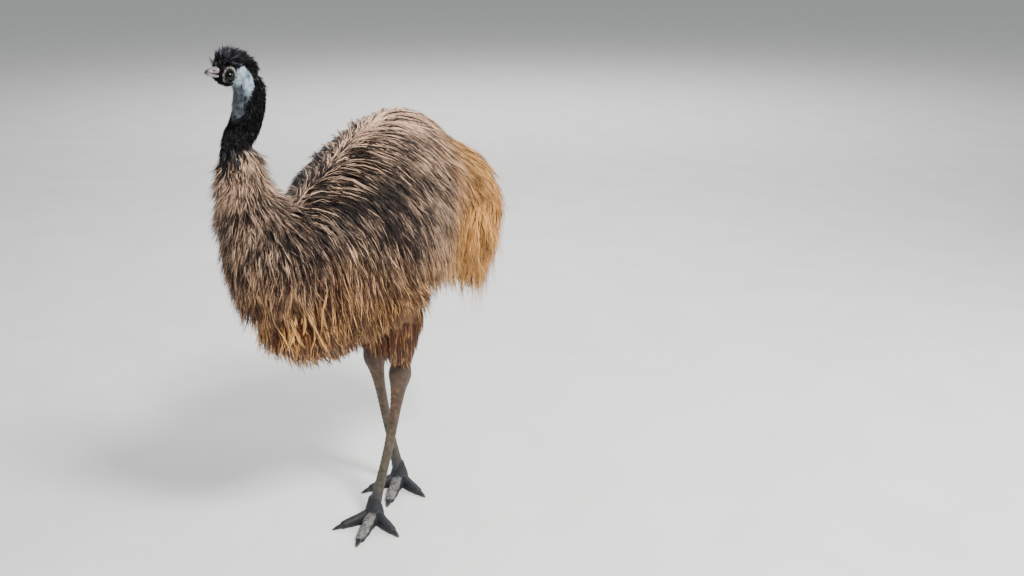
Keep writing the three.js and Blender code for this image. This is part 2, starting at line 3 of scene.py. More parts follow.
import bmesh
import bpy
import numpy as np
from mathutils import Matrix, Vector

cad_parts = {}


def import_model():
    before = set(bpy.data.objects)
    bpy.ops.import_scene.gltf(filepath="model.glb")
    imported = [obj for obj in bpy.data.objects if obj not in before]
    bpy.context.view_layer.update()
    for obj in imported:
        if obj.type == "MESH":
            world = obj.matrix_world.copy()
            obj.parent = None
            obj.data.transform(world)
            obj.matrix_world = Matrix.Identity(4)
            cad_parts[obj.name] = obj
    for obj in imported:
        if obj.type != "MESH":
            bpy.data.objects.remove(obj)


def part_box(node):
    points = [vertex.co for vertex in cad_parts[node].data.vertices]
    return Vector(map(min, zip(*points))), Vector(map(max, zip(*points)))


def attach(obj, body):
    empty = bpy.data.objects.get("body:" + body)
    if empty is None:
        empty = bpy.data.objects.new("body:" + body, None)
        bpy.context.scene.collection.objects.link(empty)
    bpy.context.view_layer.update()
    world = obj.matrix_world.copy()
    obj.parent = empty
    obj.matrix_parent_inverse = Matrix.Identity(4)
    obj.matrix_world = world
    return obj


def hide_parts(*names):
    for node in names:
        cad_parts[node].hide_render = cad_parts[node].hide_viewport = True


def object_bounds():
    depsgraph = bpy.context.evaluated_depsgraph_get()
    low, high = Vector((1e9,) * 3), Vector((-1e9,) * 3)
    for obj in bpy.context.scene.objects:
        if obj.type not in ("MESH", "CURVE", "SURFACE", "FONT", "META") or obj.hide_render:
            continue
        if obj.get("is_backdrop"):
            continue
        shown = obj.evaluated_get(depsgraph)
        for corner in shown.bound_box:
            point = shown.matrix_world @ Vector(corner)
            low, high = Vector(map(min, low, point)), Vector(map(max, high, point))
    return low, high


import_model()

cad_low, cad_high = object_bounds()

# The camera stands in front of the bird's left shoulder, a little above its head, and looks down at it.
# Its place, turn and lens were solved from both feet on level ground and the outline of the whole bird.
# The middle of the bird's pace lies beside the frame's origin by SHIFT, which the left foot's place gives.
low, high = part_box("foot_left")
SHIFT = np.array([(low.x + high.x) / 2 - 0.057, (low.y + high.y) / 2 + 0.110, 0.0])


def placed(name, data):
    """An object that holds some data, linked into the scene."""
    made = bpy.data.objects.new(name, data)
    bpy.context.scene.collection.objects.link(made)
    return made


camera = placed("camera", bpy.data.cameras.new("camera"))
camera.location = np.array([2.14677, -2.14677, 1.5824]) + SHIFT
camera.rotation_euler = (math.radians(73.0745), 0, math.radians(37.896))
camera.data.sensor_width = 36
camera.data.lens = 39.127
bpy.context.scene.camera = camera


# The stage: a wide matt pale floor that runs to the horizon under a pale grey sky. Four soft square lamps
# stand round the bird and light it, and a fifth brightens the floor far behind it.
class Value:
    """A shader value. Sums and products on it add Math nodes, and make adds any other node."""

    def __init__(self, tree, socket=None):
        self.tree, self.socket = tree, socket

    def make(self, kind, out, settings=(), values=()):
        """A node of a kind: its settings first, then the values or links of its inputs, and one output."""
        node = self.tree.nodes.new(kind)
        for name, setting in dict(settings).items():
            setattr(node, name, setting)
        for key, value in dict(values).items():
            if isinstance(value, Value):
                self.tree.links.new(value.socket, node.inputs[key])
            else:
                node.inputs[key].default_value = value
        return Value(self.tree, node.outputs[out])

    def maths(self, operation, *others):
        """A Math node on this value and the others."""
        return self.make("ShaderNodeMath", 0, {"operation": operation}, dict(enumerate((self, *others))))

    def __add__(self, other):
        return self.maths("ADD", other)

    def __mul__(self, other):
        return self.maths("MULTIPLY", other)

    def __sub__(self, other):
        return self.maths("SUBTRACT", other)

    def __rsub__(self, other):
        return (self * -1.0) + other

    __radd__, __rmul__ = __add__, __mul__

    def ramp(self, start, end, low=0.0, high=1.0):
        """This value carried smoothly from low at start to high at end, and held beyond them."""
        values = {0: self, 1: start, 2: end, 3: low, 4: high}
        return self.make("ShaderNodeMapRange", 0, {"interpolation_type": "SMOOTHSTEP"}, values)

    def mix(self, one, other):
        """A colour that goes from one to the other as this value goes from 0 to 1."""
        return self.make("ShaderNodeMix", 2, {"data_type": "RGBA"}, {0: self, 6: one, 7: other})

    def part(self, axis):
        """One of the three numbers of a vector."""
        return self.make("ShaderNodeSeparateXYZ", axis, (), {0: self})

    def noise(self, scale, detail=3.0):
        """Noise from 0 to 1 at this place, at so many waves a metre."""
        return self.make("ShaderNodeTexNoise", 0, (), {0: self, "Scale": scale, "Detail": detail})

    def cells(self, scale, feature="F1"):
        """Distances in a pattern of cells at this place, at so many cells a metre."""
        return self.make("ShaderNodeTexVoronoi", 0, {"feature": feature}, {0: self, "Scale": scale})

    def bump(self, distance, strength):
        """A normal that shows this value as a height of so many metres, at a strength from 0 to 1."""
        values = {"Height": self, "Distance": distance, "Strength": strength}
        return self.make("ShaderNodeBump", 0, (), values)


def material(name, roughness, **sockets):
    """A new material: it, the object's coordinates, a reader of attributes and a feeder of shader inputs."""
    made = bpy.data.materials.new(name)
    made.use_nodes = True
    shader = made.node_tree.nodes["Principled BSDF"]
    shader.inputs["Roughness"].default_value = roughness
    for key, value in sockets.items():
        shader.inputs[key.replace("_", " ")].default_value = value
    tree = Value(made.node_tree)
    place = tree.make("ShaderNodeTexCoord", "Object")

    def attribute(name):
        return tree.make("ShaderNodeAttribute", "Vector", {"attribute_name": name})

    def feed(**values):
        for key, value in values.items():
            made.node_tree.links.new(value.socket, shader.inputs[key.replace("_", " ")])

    return made, place, attribute, feed


def colour(red, green, blue):
    """A colour from its sRGB shares of 255."""
    shares = np.array([red, green, blue]) / 255
    linear = np.where(shares < 0.04045, shares / 12.92, ((shares + 0.055) / 1.055) ** 2.4)
    return (*linear, 1.0)


def lamp(name, size, power, place, aim):
    """A square area lamp of a size and power at a place, turned to shine at another."""
    made = placed(name, bpy.data.lights.new(name, "AREA"))
    made.data.size, made.data.energy = size, power
    made.location = place
    ray = made.location - type(made.location)(aim)
    made.rotation_euler = ray.to_track_quat("Z", "Y").to_euler()


bpy.ops.mesh.primitive_plane_add(size=400)
floor = bpy.context.object
floor.name = "floor"
paint, place, attribute, feed = material("floor_paint", 0.75)
pale, paler = colour(234, 233, 230), colour(240, 239, 236)
feed(Base_Color=place.noise(3.0).ramp(0.3, 0.7).mix(pale, paler))
floor.data.materials.append(paint)
floor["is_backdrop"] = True
sky = bpy.context.scene.world or bpy.data.worlds.new("sky")
bpy.context.scene.world = sky
sky.use_nodes = True
sky.node_tree.nodes["Background"].inputs["Color"].default_value = colour(226, 229, 233)
sky.node_tree.nodes["Background"].inputs["Strength"].default_value = 0.5
trunk_middle = (0, 0, 0.8)
lamp("key", 1.0, 330, (3.0, -0.6, 4.0), trunk_middle)
lamp("rear", 1.8, 90, (2.6, 2.4, 2.6), trunk_middle)
lamp("fill", 3.0, 45, (-2.6, -3.0, 2.2), trunk_middle)
lamp("rim", 2.4, 80, (-2.0, 2.8, 3.2), (0, 0, 0.9))
lamp("far", 5.0, 420, (-4.5, 6.5, 5.0), (-5.0, 7.5, 0))


# The skin: one closed hide, stretched over trunk, neck, tail, thighs and head. It is thin leather, painted
# dark under the coat as painted shade deep in the coat, and bare, pale and folded on the face. Its forms are
# those of the solids without their locks, melted into each other, so it has no seam.
def through(values):
    """A smooth function of a share from 0 to 1 through evenly spaced values: a Catmull-Rom curve."""
    values = np.asarray(values, float)
    last = len(values) - 1

    def at(share):
        place = np.clip(share, 0, 1) * last
        k = np.minimum(np.floor(place).astype(int), last - 1)
        t = place - k
        a, b, c, d = (values[np.clip(k + j, 0, last)] for j in (-1, 0, 1, 2))
        ease = (2 * a - 5 * b + 4 * c - d) * t**2 + (3 * b - a - 3 * c + d) * t**3
        return b + ((c - a) * t + ease) / 2

    return at


def smooth(value, start, end):
    """0 before start, 1 after end and a smooth step between them."""
    share = np.clip((value - start) / (end - start), 0, 1)
    return share * share * (3 - 2 * share)


def rise(value, *pairs):
    """A value read off a line through pairs of places and heights."""
    return np.interp(value, *np.transpose(pairs))


def circle(sides):
    """A full circle in equal turns, as one row."""
    return np.linspace(0, 2 * np.pi, sides, endpoint=False)[None]


def unit(vectors):
    """Vectors at length 1."""
    return vectors / np.maximum(np.linalg.norm(vectors, axis=-1, keepdims=True), 1e-9)


def along_plane(vectors, normals):
    """Vectors without their part along the normals."""
    return vectors - (vectors * normals).sum(-1, keepdims=True) * normals


TRUNK_MIDDLE, TRUNK_HALF = -54, 372  # along Y
trunk_width = through([136, 160, 167, 166, 134])
trunk_axis = through([782, 814, 851, 872, 886])
trunk_rise = through([200, 204, 260, 322, 266])
trunk_drop = through([318, 296, 244, 232, 262])


def trunk_point(along, angle):
    """A point of the trunk: an ellipse about its axis, its rise or drop and width shrunk by a round end."""
    share = (along + 1) / 2
    round_off = np.sqrt(np.maximum(0, 1 - along**2))
    lift = np.where(np.cos(angle) > 0, trunk_rise(share), trunk_drop(share))
    across = trunk_width(share) * round_off * np.sin(angle)
    up = trunk_axis(share) + lift * round_off * np.cos(angle)
    return np.stack([across, TRUNK_MIDDLE + TRUNK_HALF * along + 0 * across, up], -1)


def trunk_level(p):
    """About how far points are outside the trunk: their distance from its axis less the trunk's own there."""
    along = (p[..., 1] - TRUNK_MIDDLE) / TRUNK_HALF
    share = np.clip((along + 1) / 2, 0, 1)
    high = p[..., 2] - trunk_axis(share)
    lift = np.where(high > 0, trunk_rise(share), trunk_drop(share))
    reach = np.sqrt((p[..., 0] / trunk_width(share)) ** 2 + (high / lift) ** 2 + along**2)
    far = np.sqrt(p[..., 0] ** 2 + high**2 + (p[..., 1] - TRUNK_MIDDLE) ** 2)
    return far * (1 - 1 / np.maximum(reach, 1e-6))


class Limb:
    """Oval sections along a smooth line, with half sizes across it and from front to back. The line is a
    centripetal Catmull-Rom curve through its points, read at shares of its length."""

    def __init__(self, line, wide, deep):
        self.wide, self.deep = through(wide), through(deep)
        line = np.asarray(line, float)
        ends = np.vstack([2 * line[0] - line[1], line, 2 * line[-1] - line[-2]])
        pieces = []
        for a, b, c, d in zip(ends, ends[1:], ends[2:], ends[3:]):
            first, middle, last = (np.sqrt(np.linalg.norm(q)) for q in (b - a, c - b, d - c))
            start = ((b - a) / first - (c - a) / (first + middle) + (c - b) / middle) * middle
            end = ((c - b) / middle - (d - b) / (middle + last) + (d - c) / last) * middle
            t = np.linspace(0, 1, 60, endpoint=False)[:, None]
            bend = (3 * (c - b) - 2 * start - end) * t**2 + (2 * (b - c) + start + end) * t**3
            pieces.append(b + start * t + bend)
        fine = np.vstack([*pieces, line[-1:]])
        walked = np.concatenate([[0], np.cumsum(np.linalg.norm(np.diff(fine, axis=0), axis=1))])
        self.length = walked[-1]
        self.shares = np.linspace(0, 1, 121)
        reached = self.shares * self.length
        self.centre = np.stack([np.interp(reached, walked, row) for row in fine.T], -1)
        self.tangent = unit(np.gradient(self.centre, axis=0))
        self.side = unit(along_plane(np.array([1.0, 0, 0]), self.tangent))
        self.back = np.cross(self.tangent, self.side)

    def read(self, rows, share):
        """Rows of the line's samples at shares between them."""
        return np.stack([np.interp(share, self.shares, rows[:, k]) for k in range(3)], -1)

    def point(self, share, turn, grow=0.0):
        """A point of its skin: the centre, plus cosine and sine of the turn times its half sizes."""
        share, turn = np.broadcast_arrays(share, turn)
        across = ((self.wide(share) + grow) * np.cos(turn))[..., None] * unit(self.read(self.side, share))
        backward = ((self.deep(share) + grow) * np.sin(turn))[..., None] * unit(self.read(self.back, share))
        return self.read(self.centre, share) + across + backward

    def nearest(self, p):
        """The share and turn of the places on the line that are nearest to points, and the reach there."""
        flat = p.reshape(-1, 3)
        span = (flat**2).sum(1)[:, None] - 2 * flat @ self.centre.T + (self.centre**2).sum(1)
        k = np.clip(span.argmin(1), 1, len(self.shares) - 2)
        slip = ((flat - self.centre[k]) * self.tangent[k]).sum(1) / self.length
        share = np.clip(self.shares[k] + np.clip(slip, -0.012, 0.012), 0, 1).reshape(p.shape[:-1])
        off = p - self.read(self.centre, share)
        across = (off * self.read(self.side, share)).sum(-1) / self.wide(share)
        backward = (off * self.read(self.back, share)).sum(-1) / self.deep(share)
        beyond = (off * self.read(self.tangent, share)).sum(-1) / self.deep(share)
        return share, np.arctan2(backward, across), np.sqrt(across**2 + backward**2 + beyond**2), off

    def level(self, p):
        """About how far points are outside the limb, which has round ends."""
        _, _, reach, off = self.nearest(p)
        return np.linalg.norm(off, axis=-1) * (1 - 1 / np.maximum(reach, 1e-3))


def in_plane(pairs):
    """Points of the bird's middle plane from pairs of Y and Z."""
    return [(0, y, z) for y, z in pairs]


neck = Limb(
    in_plane([(-345, 800), (-398, 875), (-440, 960), (-456, 1035), (-455, 1090),
              (-463, 1134), (-437, 1172), (-421, 1212), (-416, 1252), (-430, 1300)]),
    [112, 104, 84, 64, 51, 41, 36, 37, 38, 30],
    [122, 112, 88, 65, 51, 42, 38, 39, 41, 32],
)
tail = Limb(
    in_plane([(170, 966), (276, 938), (332, 850), (336, 718)]),
    [132, 140, 132, 92],
    [96, 92, 84, 48],
)
LEG_WIDE = [74, 70, 54, 36, 25, 29, 20, 15, 13.5, 13, 12.5, 13, 15, 18]
LEG_DEEP = [94, 86, 62, 40, 26, 34, 23, 17, 15, 14.5, 14, 14, 16, 20]
HOCK_TOP = 0.335  # share of the leg where the feathered thigh ends
LEG_LINES = {
    "left": [(98, -66, 668), (93, -18, 556), (80, -8, 440), (69, -44, 245), (57, -110, 40)],
    "right": [(-98, -16, 668), (-94, 30, 560), (-80, 44, 452), (-68, 74, 250), (-47, 104, 40)],
}
legs = {name: Limb(line, LEG_WIDE, LEG_DEEP) for name, line in LEG_LINES.items()}

# The head's own frame: its origin is between the eyes and the bill points along -Y. It is turned 3 degrees to
# the bird's left and tipped 9 degrees down.
EYES = np.array([0.0, -468, 1308])
turn, lift = math.radians(3), math.radians(-9)
HEAD_TURN = np.array([[math.cos(turn), -math.sin(turn), 0], [math.sin(turn), math.cos(turn), 0], [0, 0, 1]])
HEAD_TURN = HEAD_TURN @ [[1, 0, 0], [0, math.cos(lift), -math.sin(lift)], [0, math.sin(lift), math.cos(lift)]]


def from_head(p):
    """Points of the head's frame in the bird's."""
    return p @ HEAD_TURN.T + EYES


def to_head(p):
    """Points of the bird's frame in the head's."""
    return (p - EYES) @ HEAD_TURN


SKULL = np.array([
    [-41, 10, -17, 14], [-35, 19, -21, 19], [-25, 30, -26, 25], [-10, 39, -31, 29],
    [7, 43, -33, 31], [26, 43, -36, 34], [46, 38, -36, 33], [66, 22, -28, 23],
])  # distance behind the eyes, top, bottom and half width
skull_rows = [through(SKULL[:, k]) for k in range(4)]
SKULL_SHARES = np.linspace(0, 1, 81)
SKULL_FRONT, SKULL_BACK = -41, 68


def skull_point(share, turn):
    """A point of the skull in the head's frame, at a turn from the crown."""
    y, top, bottom, half = (row(share) for row in skull_rows)
    across = half * np.sin(turn)
    return np.stack([across, y + 0 * across, (top + bottom) / 2 + (top - bottom) / 2 * np.cos(turn)], -1)


def melted(a, b, reach):
    """Two levels joined, with a fillet of that reach."""
    share = np.clip(0.5 + (b - a) / (2 * reach), 0, 1)
    return b + (a - b) * share - reach * share * (1 - share)


def kept(a, b, reach):
    """Where both of two levels hold, with a rounded edge of that reach."""
    return -melted(-a, -b, reach)


def skull_level(q):
    """About how far points of the head's frame are outside the skull, which has rounded ends."""
    share = np.interp(q[..., 1], skull_rows[0](SKULL_SHARES), SKULL_SHARES)
    _, top, bottom, half = (row(share) for row in skull_rows)
    high = q[..., 2] - (top + bottom) / 2
    reach = np.hypot(q[..., 0] / half, high / ((top - bottom) / 2))
    radial = np.hypot(q[..., 0], high) * (1 - 1 / np.maximum(reach, 1e-3))
    ends = np.maximum(SKULL_FRONT - q[..., 1], q[..., 1] - SKULL_BACK)
    return kept(radial, ends, 8)


EYE = np.array([16.5, -16, -10])  # the left eye's centre
EYE_RADIUS = 15
OPENING = (9, 12.5)  # half width and half height between the lids
EAR = (28, -9)  # Y and Z of its opening
GAZE = np.array([math.cos(0.4), -math.sin(0.4), 0])
GAZE_SIDE = np.array([math.sin(0.4), math.cos(0.4), 0])


def from_gaze(q):
    """Points of the head's frame seen from the eye on their side: how far from its centre, how far ahead
    along its gaze, and how far off the gaze as a share of the oval opening between the lids."""
    from_eye = np.concatenate([np.abs(q[..., :1]), q[..., 1:]], -1) - EYE
    oval = np.hypot((from_eye * GAZE_SIDE).sum(-1) / OPENING[0], from_eye[..., 2] / OPENING[1])
    return np.linalg.norm(from_eye, axis=-1), (from_eye * GAZE).sum(-1), oval


def face_level(q):
    """The skull melted into its eye bulges, less lids, sockets and ear cups, plus the line of the mouth. Each
    rim is a bell curve of the share of its oval."""
    x, y, z = np.abs(q[..., 0]), q[..., 1], q[..., 2]
    far, ahead, oval = from_gaze(q)
    level = melted(skull_level(q) + 1.5, far - (EYE_RADIUS + 1.6), 7)
    near = smooth(ahead, 2, 9)
    level -= near * 0.7 * np.exp(-(((oval - 1.13) / 0.09) ** 2))
    level += near * 0.7 * np.exp(-(((oval - 1.36) / 0.06) ** 2))
    level -= near * 0.5 * np.exp(-(((oval - 1.52) / 0.09) ** 2))
    socket = np.minimum(12 * (1 - oval), far - (EYE_RADIUS - 2.2))
    level = np.where(ahead > 0, kept(level, socket, 0.8), level)
    ear = np.hypot((y - EAR[0]) / 5, (z - EAR[1]) / 7)
    side = smooth(x, 18, 24)
    level -= side * 1.3 * np.exp(-(((ear - 1.25) / 0.25) ** 2))
    level += side * 6 * (1 - smooth(ear, 0.5, 1.05))
    lips = np.exp(-(((z + 8.5 + 0.15 * (y + 20)) / 1.1) ** 2)) * smooth(-y, 14, 24)
    return level + 1.8 * lips * smooth(x, 2, 7)


def thigh_level(leg, p):
    """How far points are outside a leg's feathered part, which is cut flat at the top of the hock."""
    share = np.array(HOCK_TOP)
    past = ((p - leg.read(leg.centre, share)) * leg.read(leg.tangent, share)).sum(-1)
    return kept(leg.level(p), past, 5)


HEAD_FLOOR = 1180  # the height above which the head counts, and below which tail and legs do


def skin_level(p):
    """How far points are outside the skin: all its forms, melted into each other with fillets of 12 to 45."""
    level = trunk_level(p)
    low = p[..., 2] < HEAD_FLOOR
    body = p[low]
    rest = melted(trunk_level(body), tail.level(body), 45)
    for leg in legs.values():
        rest = melted(rest, thigh_level(leg, body), 30)
    level[low] = rest
    upper = smooth(p[..., 2], 1090, 1150)
    level = melted(level, neck.level(p) + 2.5 * upper, 45 - 30 * upper)
    level[~low] = melted(level[~low], face_level(to_head(p[~low])), 12)
    return level


def outward(level, p, step=1.5):
    """The outward direction of a form at points: how its level changes over a step along each axis."""
    here = level(p)
    change = [level(p + step * axis) - here for axis in np.eye(3)]
    return unit(np.stack(change, -1))


def loft(grid):
    """Points and faces of a closed tube: quads between its rings, and fans of triangles at its ends."""
    rings, sides = grid.shape[:2]
    points = np.vstack([grid.reshape(-1, 3), grid[0].mean(0), grid[-1].mean(0)])
    k, i = np.meshgrid(np.arange(rings - 1), np.arange(sides), indexing="ij")
    j = (i + 1) % sides
    quads = [k * sides + i, k * sides + j, (k + 1) * sides + j, (k + 1) * sides + i]
    quads = np.stack(quads, -1).reshape(-1, 4)
    ring, after = np.arange(sides), (np.arange(sides) + 1) % sides
    start = np.stack([np.full(sides, rings * sides), after, ring], -1)
    end = np.stack([np.full(sides, rings * sides + 1), ring, after], -1)
    end[:, 1:] += (rings - 1) * sides
    return points, quads, np.vstack([start, end])


def world(points):
    """The bird's millimetres, from the middle of its pace on the floor with its head towards -Y, as metres of
    the frame: a thousandth of them, plus SHIFT."""
    return np.asarray(points, float) * 0.001 + SHIFT


def mesh_of(name, points, *faces):
    """A smooth mesh object from points in the bird's millimetres and arrays of faces."""
    mesh = bpy.data.meshes.new(name)
    corners = np.concatenate([f.ravel() for f in faces]).astype(np.int32)
    counts = np.concatenate([np.full(len(f), f.shape[1]) for f in faces])
    mesh.vertices.add(len(points))
    mesh.vertices.foreach_set("co", world(points).astype(np.float32).ravel())
    mesh.loops.add(len(corners))
    mesh.loops.foreach_set("vertex_index", corners)
    mesh.polygons.add(len(counts))
    mesh.polygons.foreach_set("loop_start", (np.cumsum(counts) - counts).astype(np.int32))
    mesh.update(calc_edges=True)
    mesh.shade_smooth()
    return placed(name, mesh)


def dress(made, paint, slot, *nodes):
    """Gives a piece its material, and lets it ride on the root in place of its nodes. Its slot is not used.
    """
    made.data.materials.clear()
    made.data.materials.append(paint)
    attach(made, "root")
    if nodes:
        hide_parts(*nodes)


def give(made, name, values):
    """Numbers for each vertex of a piece, as a vector attribute that its material reads."""
    data = made.data.attributes.new(name, "FLOAT_VECTOR", "POINT").data
    data.foreach_set("vector", np.asarray(values, np.float32).ravel())


def melt(name, lofts, voxel):
    """Lofts joined into one closed mesh of even quads, which a voxel remesh of that size in metres lays."""
    points, faces, first = [], [], 0
    for grid in lofts:
        co, quads, fans = loft(grid)
        points.append(co)
        faces += [*(quads + first).tolist(), *(fans + first).tolist()]
        first += len(co)
    mesh = bpy.data.meshes.new(name + "_lofts")
    mesh.from_pydata(world(np.vstack(points)).tolist(), [], faces)
    rough = placed(name + "_lofts", mesh)
    remesh = rough.modifiers.new("remesh", "REMESH")
    remesh.mode = "VOXEL"
    remesh.voxel_size = voxel
    made = bpy.data.meshes.new_from_object(rough.evaluated_get(bpy.context.evaluated_depsgraph_get()))
    bpy.data.objects.remove(rough)
    made.name = name
    return made


def points_of(mesh):
    """A mesh's vertices in the bird's millimetres."""
    co = np.empty(len(mesh.vertices) * 3, np.float32)
    mesh.vertices.foreach_get("co", co)
    return (co.reshape(-1, 3).astype(float) - SHIFT) * 1000


def shaped(mesh, points):
    """An object of the mesh's own name, its vertices moved to points in the bird's millimetres."""
    mesh.vertices.foreach_set("co", world(points).astype(np.float32).ravel())
    mesh.update()
    mesh.shade_smooth()
    return placed(mesh.name, mesh)


shares, turns = np.linspace(0, 1, 60)[:, None], circle(64)
ends = -np.cos(np.pi * np.linspace(0.01, 0.99, 60))
lofts = [trunk_point(ends[:, None], -turns)]
lofts += [limb.point(shares, turns) for limb in (neck, tail)]
lofts += [leg.point(shares * HOCK_TOP, turns) for leg in legs.values()]
lofts.append(from_head(skull_point(shares[::-1], turns)))
SKIN_VOXEL = 0.0053  # metres, fine enough for the forms and still under 200,000 triangles
skin_mesh = melt("skin", lofts, SKIN_VOXEL)

# the head is divided finer in two rounds, and then every point goes to where the forms are level
HEAD_MIDDLE = world(EYES + [0, 8, -8])
shape = bmesh.new()
shape.from_mesh(skin_mesh)
for reach in (0.105, 0.092):
    starts = np.array([edge.verts[0].co[:] for edge in shape.edges])
    near = np.linalg.norm(starts - HEAD_MIDDLE, axis=1) < reach
    near = [edge for edge, inside in zip(shape.edges, near) if inside]
    bmesh.ops.subdivide_edges(shape, edges=near, cuts=1, use_grid_fill=True)
bmesh.ops.triangulate(shape, faces=[face for face in shape.faces if len(face.verts) > 4])
shape.to_mesh(skin_mesh)
shape.free()
skin_points = points_of(skin_mesh)
for chosen in [skin_points[:, 2] > 0] + [skin_points[:, 2] > HEAD_FLOOR] * 4:
    moving = skin_points[chosen]
    out = outward(skin_level, moving, 0.5)
    skin_points[chosen] = moving - np.clip(skin_level(moving), -4, 4)[:, None] * out * 0.9
skin = shaped(skin_mesh, skin_points)


NECK_MIDDLE = [
    (1035, -456), (1090, -455), (1134, -463), (1172, -437), (1212, -421), (1252, -416), (1300, -430),
]  # heights, and the Y of the neck's middle there


def neck_turn(p):
    """How many degrees round the neck points lie from its front: 90 at its side and 180 behind."""
    return np.degrees(np.arctan2(np.abs(p[..., 0]), rise(p[..., 2], *NECK_MIDDLE) - p[..., 1]))


def plumage_at(p):
    """Shares of golden, pale and black in the plumage at points, which skin and coat both carry. It is golden
    behind and below, paler on the parting and the ruff, paler on the upper back and the rear as painted
    highlights of the light from above and from behind, darker in bells on flank and shoulder, and black
    above a border round the neck."""
    x, y, z = np.abs(p[..., 0]), p[..., 1], p[..., 2]
    behind = smooth(y - 0.2 * (z - 900), 70, 250)
    under = 0.9 * (1 - smooth(z + 0.12 * y, 590, 885))
    golden = np.maximum(behind, under)
    parting = np.exp(-((x / 22) ** 2)) * smooth(z, 900, 1000)
    # the paler upper back is a painted highlight of light from above
    back = smooth(z, 1000, 1130) * (smooth(y, -190, -30) - 0.7 * smooth(y, 90, 200))
    ruff = smooth(-y, 330, 400) * smooth(z, 975, 1070)
    # the paler rear is a painted highlight of light from behind
    rear = smooth(y, -60, 80) + 0.8 * smooth(y, 60, 150) * (1 - smooth(z, 930, 1010)) * (1 - behind)
    flank = np.exp(-(((y + 160) / 122) ** 2) - ((z - 948) / 105) ** 2)
    shoulder = np.exp(-(((y + 352) / 50) ** 2) - ((z - 912) / 75) ** 2)
    low = np.exp(-(((z - 640) / 90) ** 2))
    pale = 0.3 + 0.24 * parting + 0.17 * back + 0.2 * ruff + 0.18 * rear + 0.08 * low
    pale = pale - 0.34 * flank - 0.3 * shoulder
    border = rise(neck_turn(p), (0, 1080), (25, 1092), (60, 1122), (110, 1148), (180, 1166))
    black = smooth(z - border, -6, 6) * smooth(-y, 300, 360)
    return np.stack([golden, np.clip(pale + 0.25 * behind, 0, 1) * (1 - black), black], -1)


def bare_at(p):
    """Shares of bare pale skin, of the ring round the eye and of the lids at points of the head and the upper
    neck. The patch lies within an edge of turns from the front that depends on the height, without the face
    ahead of the eye, and a pale strip of bare skin on the nape is added. Sines of the place fray its border."""
    q, turn, z = to_head(p), neck_turn(p), p[:, 2]
    edge = rise(z, (1188, -20), (1204, 36), (1236, 48), (1262, 74), (1282, 102), (1298, 92), (1310, 76),
                (1321, 60), (1330, -20))
    patch = 1 - smooth(turn, edge - 17, edge + 15)
    face = smooth(z, 1246, 1262) * (1 - smooth(q[:, 1], -8, 4))
    nape = np.exp(-(((turn - 128) / 6) ** 2)) * smooth(z, 1258, 1268) * (1 - smooth(z, 1290, 1304))
    patch = np.clip(patch * (1 - face) + 0.8 * nape, 0, 1)
    _, ahead, oval = from_gaze(q)
    ring = smooth(oval, 1.34, 1.46) * (1 - smooth(oval, 1.75, 1.95)) * smooth(ahead, -4, 4)
    lid = 1 - smooth(oval, 1.2, 1.36)
    ragged = 0.12 * np.sin(z * 0.9) + 0.1 * np.sin(z * 0.37 + p[:, 0] * 0.5)
    return np.stack([np.clip(patch + ragged * patch * (1 - patch) * 4, 0, 1) * (1 - lid), ring, lid], -1)


def glow_at(p):
    """How bright the bare skin is: brightest on the cheek, fading down the neck and first on its front."""
    side = np.maximum(smooth(neck_turn(p), 22, 62), smooth(p[:, 2], 1264, 1284))
    return smooth(p[:, 2], 1226, 1278) * (0.2 + 0.8 * side)


give(skin, "plumage", plumage_at(skin_points))
bare = np.zeros((len(skin_points), 3))
on_head = skin_points[:, 2] > HEAD_FLOOR
bare[on_head] = bare_at(skin_points[on_head])
give(skin, "bare", bare)
give(skin, "glow", glow_at(skin_points)[:, None] * [1, 0, 0])
paint, place, attribute, feed = material("skin_paint", 0.6, Specular_IOR_Level=0.25)
region, bare = attribute("plumage"), attribute("bare")
# under the coat the skin is painted dark, in the plumage's markings, as painted shade deep in the coat
tint = region.part(0).mix(colour(46, 38, 35), colour(122, 84, 50))
tint = region.part(2).mix(tint, colour(4, 4, 4))
blotch = place.noise(90, 4).ramp(0.3, 0.75)
pale_skin = blotch.mix(colour(98, 112, 124), colour(166, 183, 192))
glow = (attribute("glow").part(0) + place.noise(110, 4) * 0.7 - 0.35).ramp(0.1, 0.85)
pale_skin = glow.mix(blotch.mix(colour(38, 41, 48), colour(84, 90, 98)), pale_skin)
tint = (bare.part(0) + place.noise(130, 5) * 1.3 - 0.65).ramp(0.2, 0.75).mix(tint, pale_skin)
tint = (bare.part(1) * (0.7 + 0.25 * blotch)).mix(tint, colour(128, 126, 120))
tint = bare.part(2).mix(tint, colour(14, 13, 14))
fold = place.noise(420, 3) + place.cells(900) * 0.5
feed(Base_Color=tint, Normal=fold.bump(0.0008, 0.6))
flesh = ["torso", "tail", "neck_base", "neck_middle", "neck_upper", "thigh_left", "thigh_right", "head"]
dress(skin, paint, "body_plumage", *flesh)


# The eyes: two wet balls of a brown so dark that it looks black. Each sits deep in its socket and is held
# between the lids, with the low clear bulge of the cornea where it looks out.
SIDES = {"left": 1, "right": -1}


def dome(radius):
    """A ball's points about +X, ring by ring from one pole to the other, and each ring's angle from the gaze.
    Its radius is 6% longer at the gaze and falls off from there in a bell."""
    polar, turn = np.linspace(0.02, np.pi - 0.02, 48)[:, None], circle(64)
    bulge = radius * (1 + 0.06 * np.exp(-((polar / 0.5) ** 2)))
    along = bulge * np.cos(polar) + 0 * turn
    across = bulge * np.sin(polar)
    return np.stack([along, across * np.cos(turn), across * np.sin(turn)], -1), polar


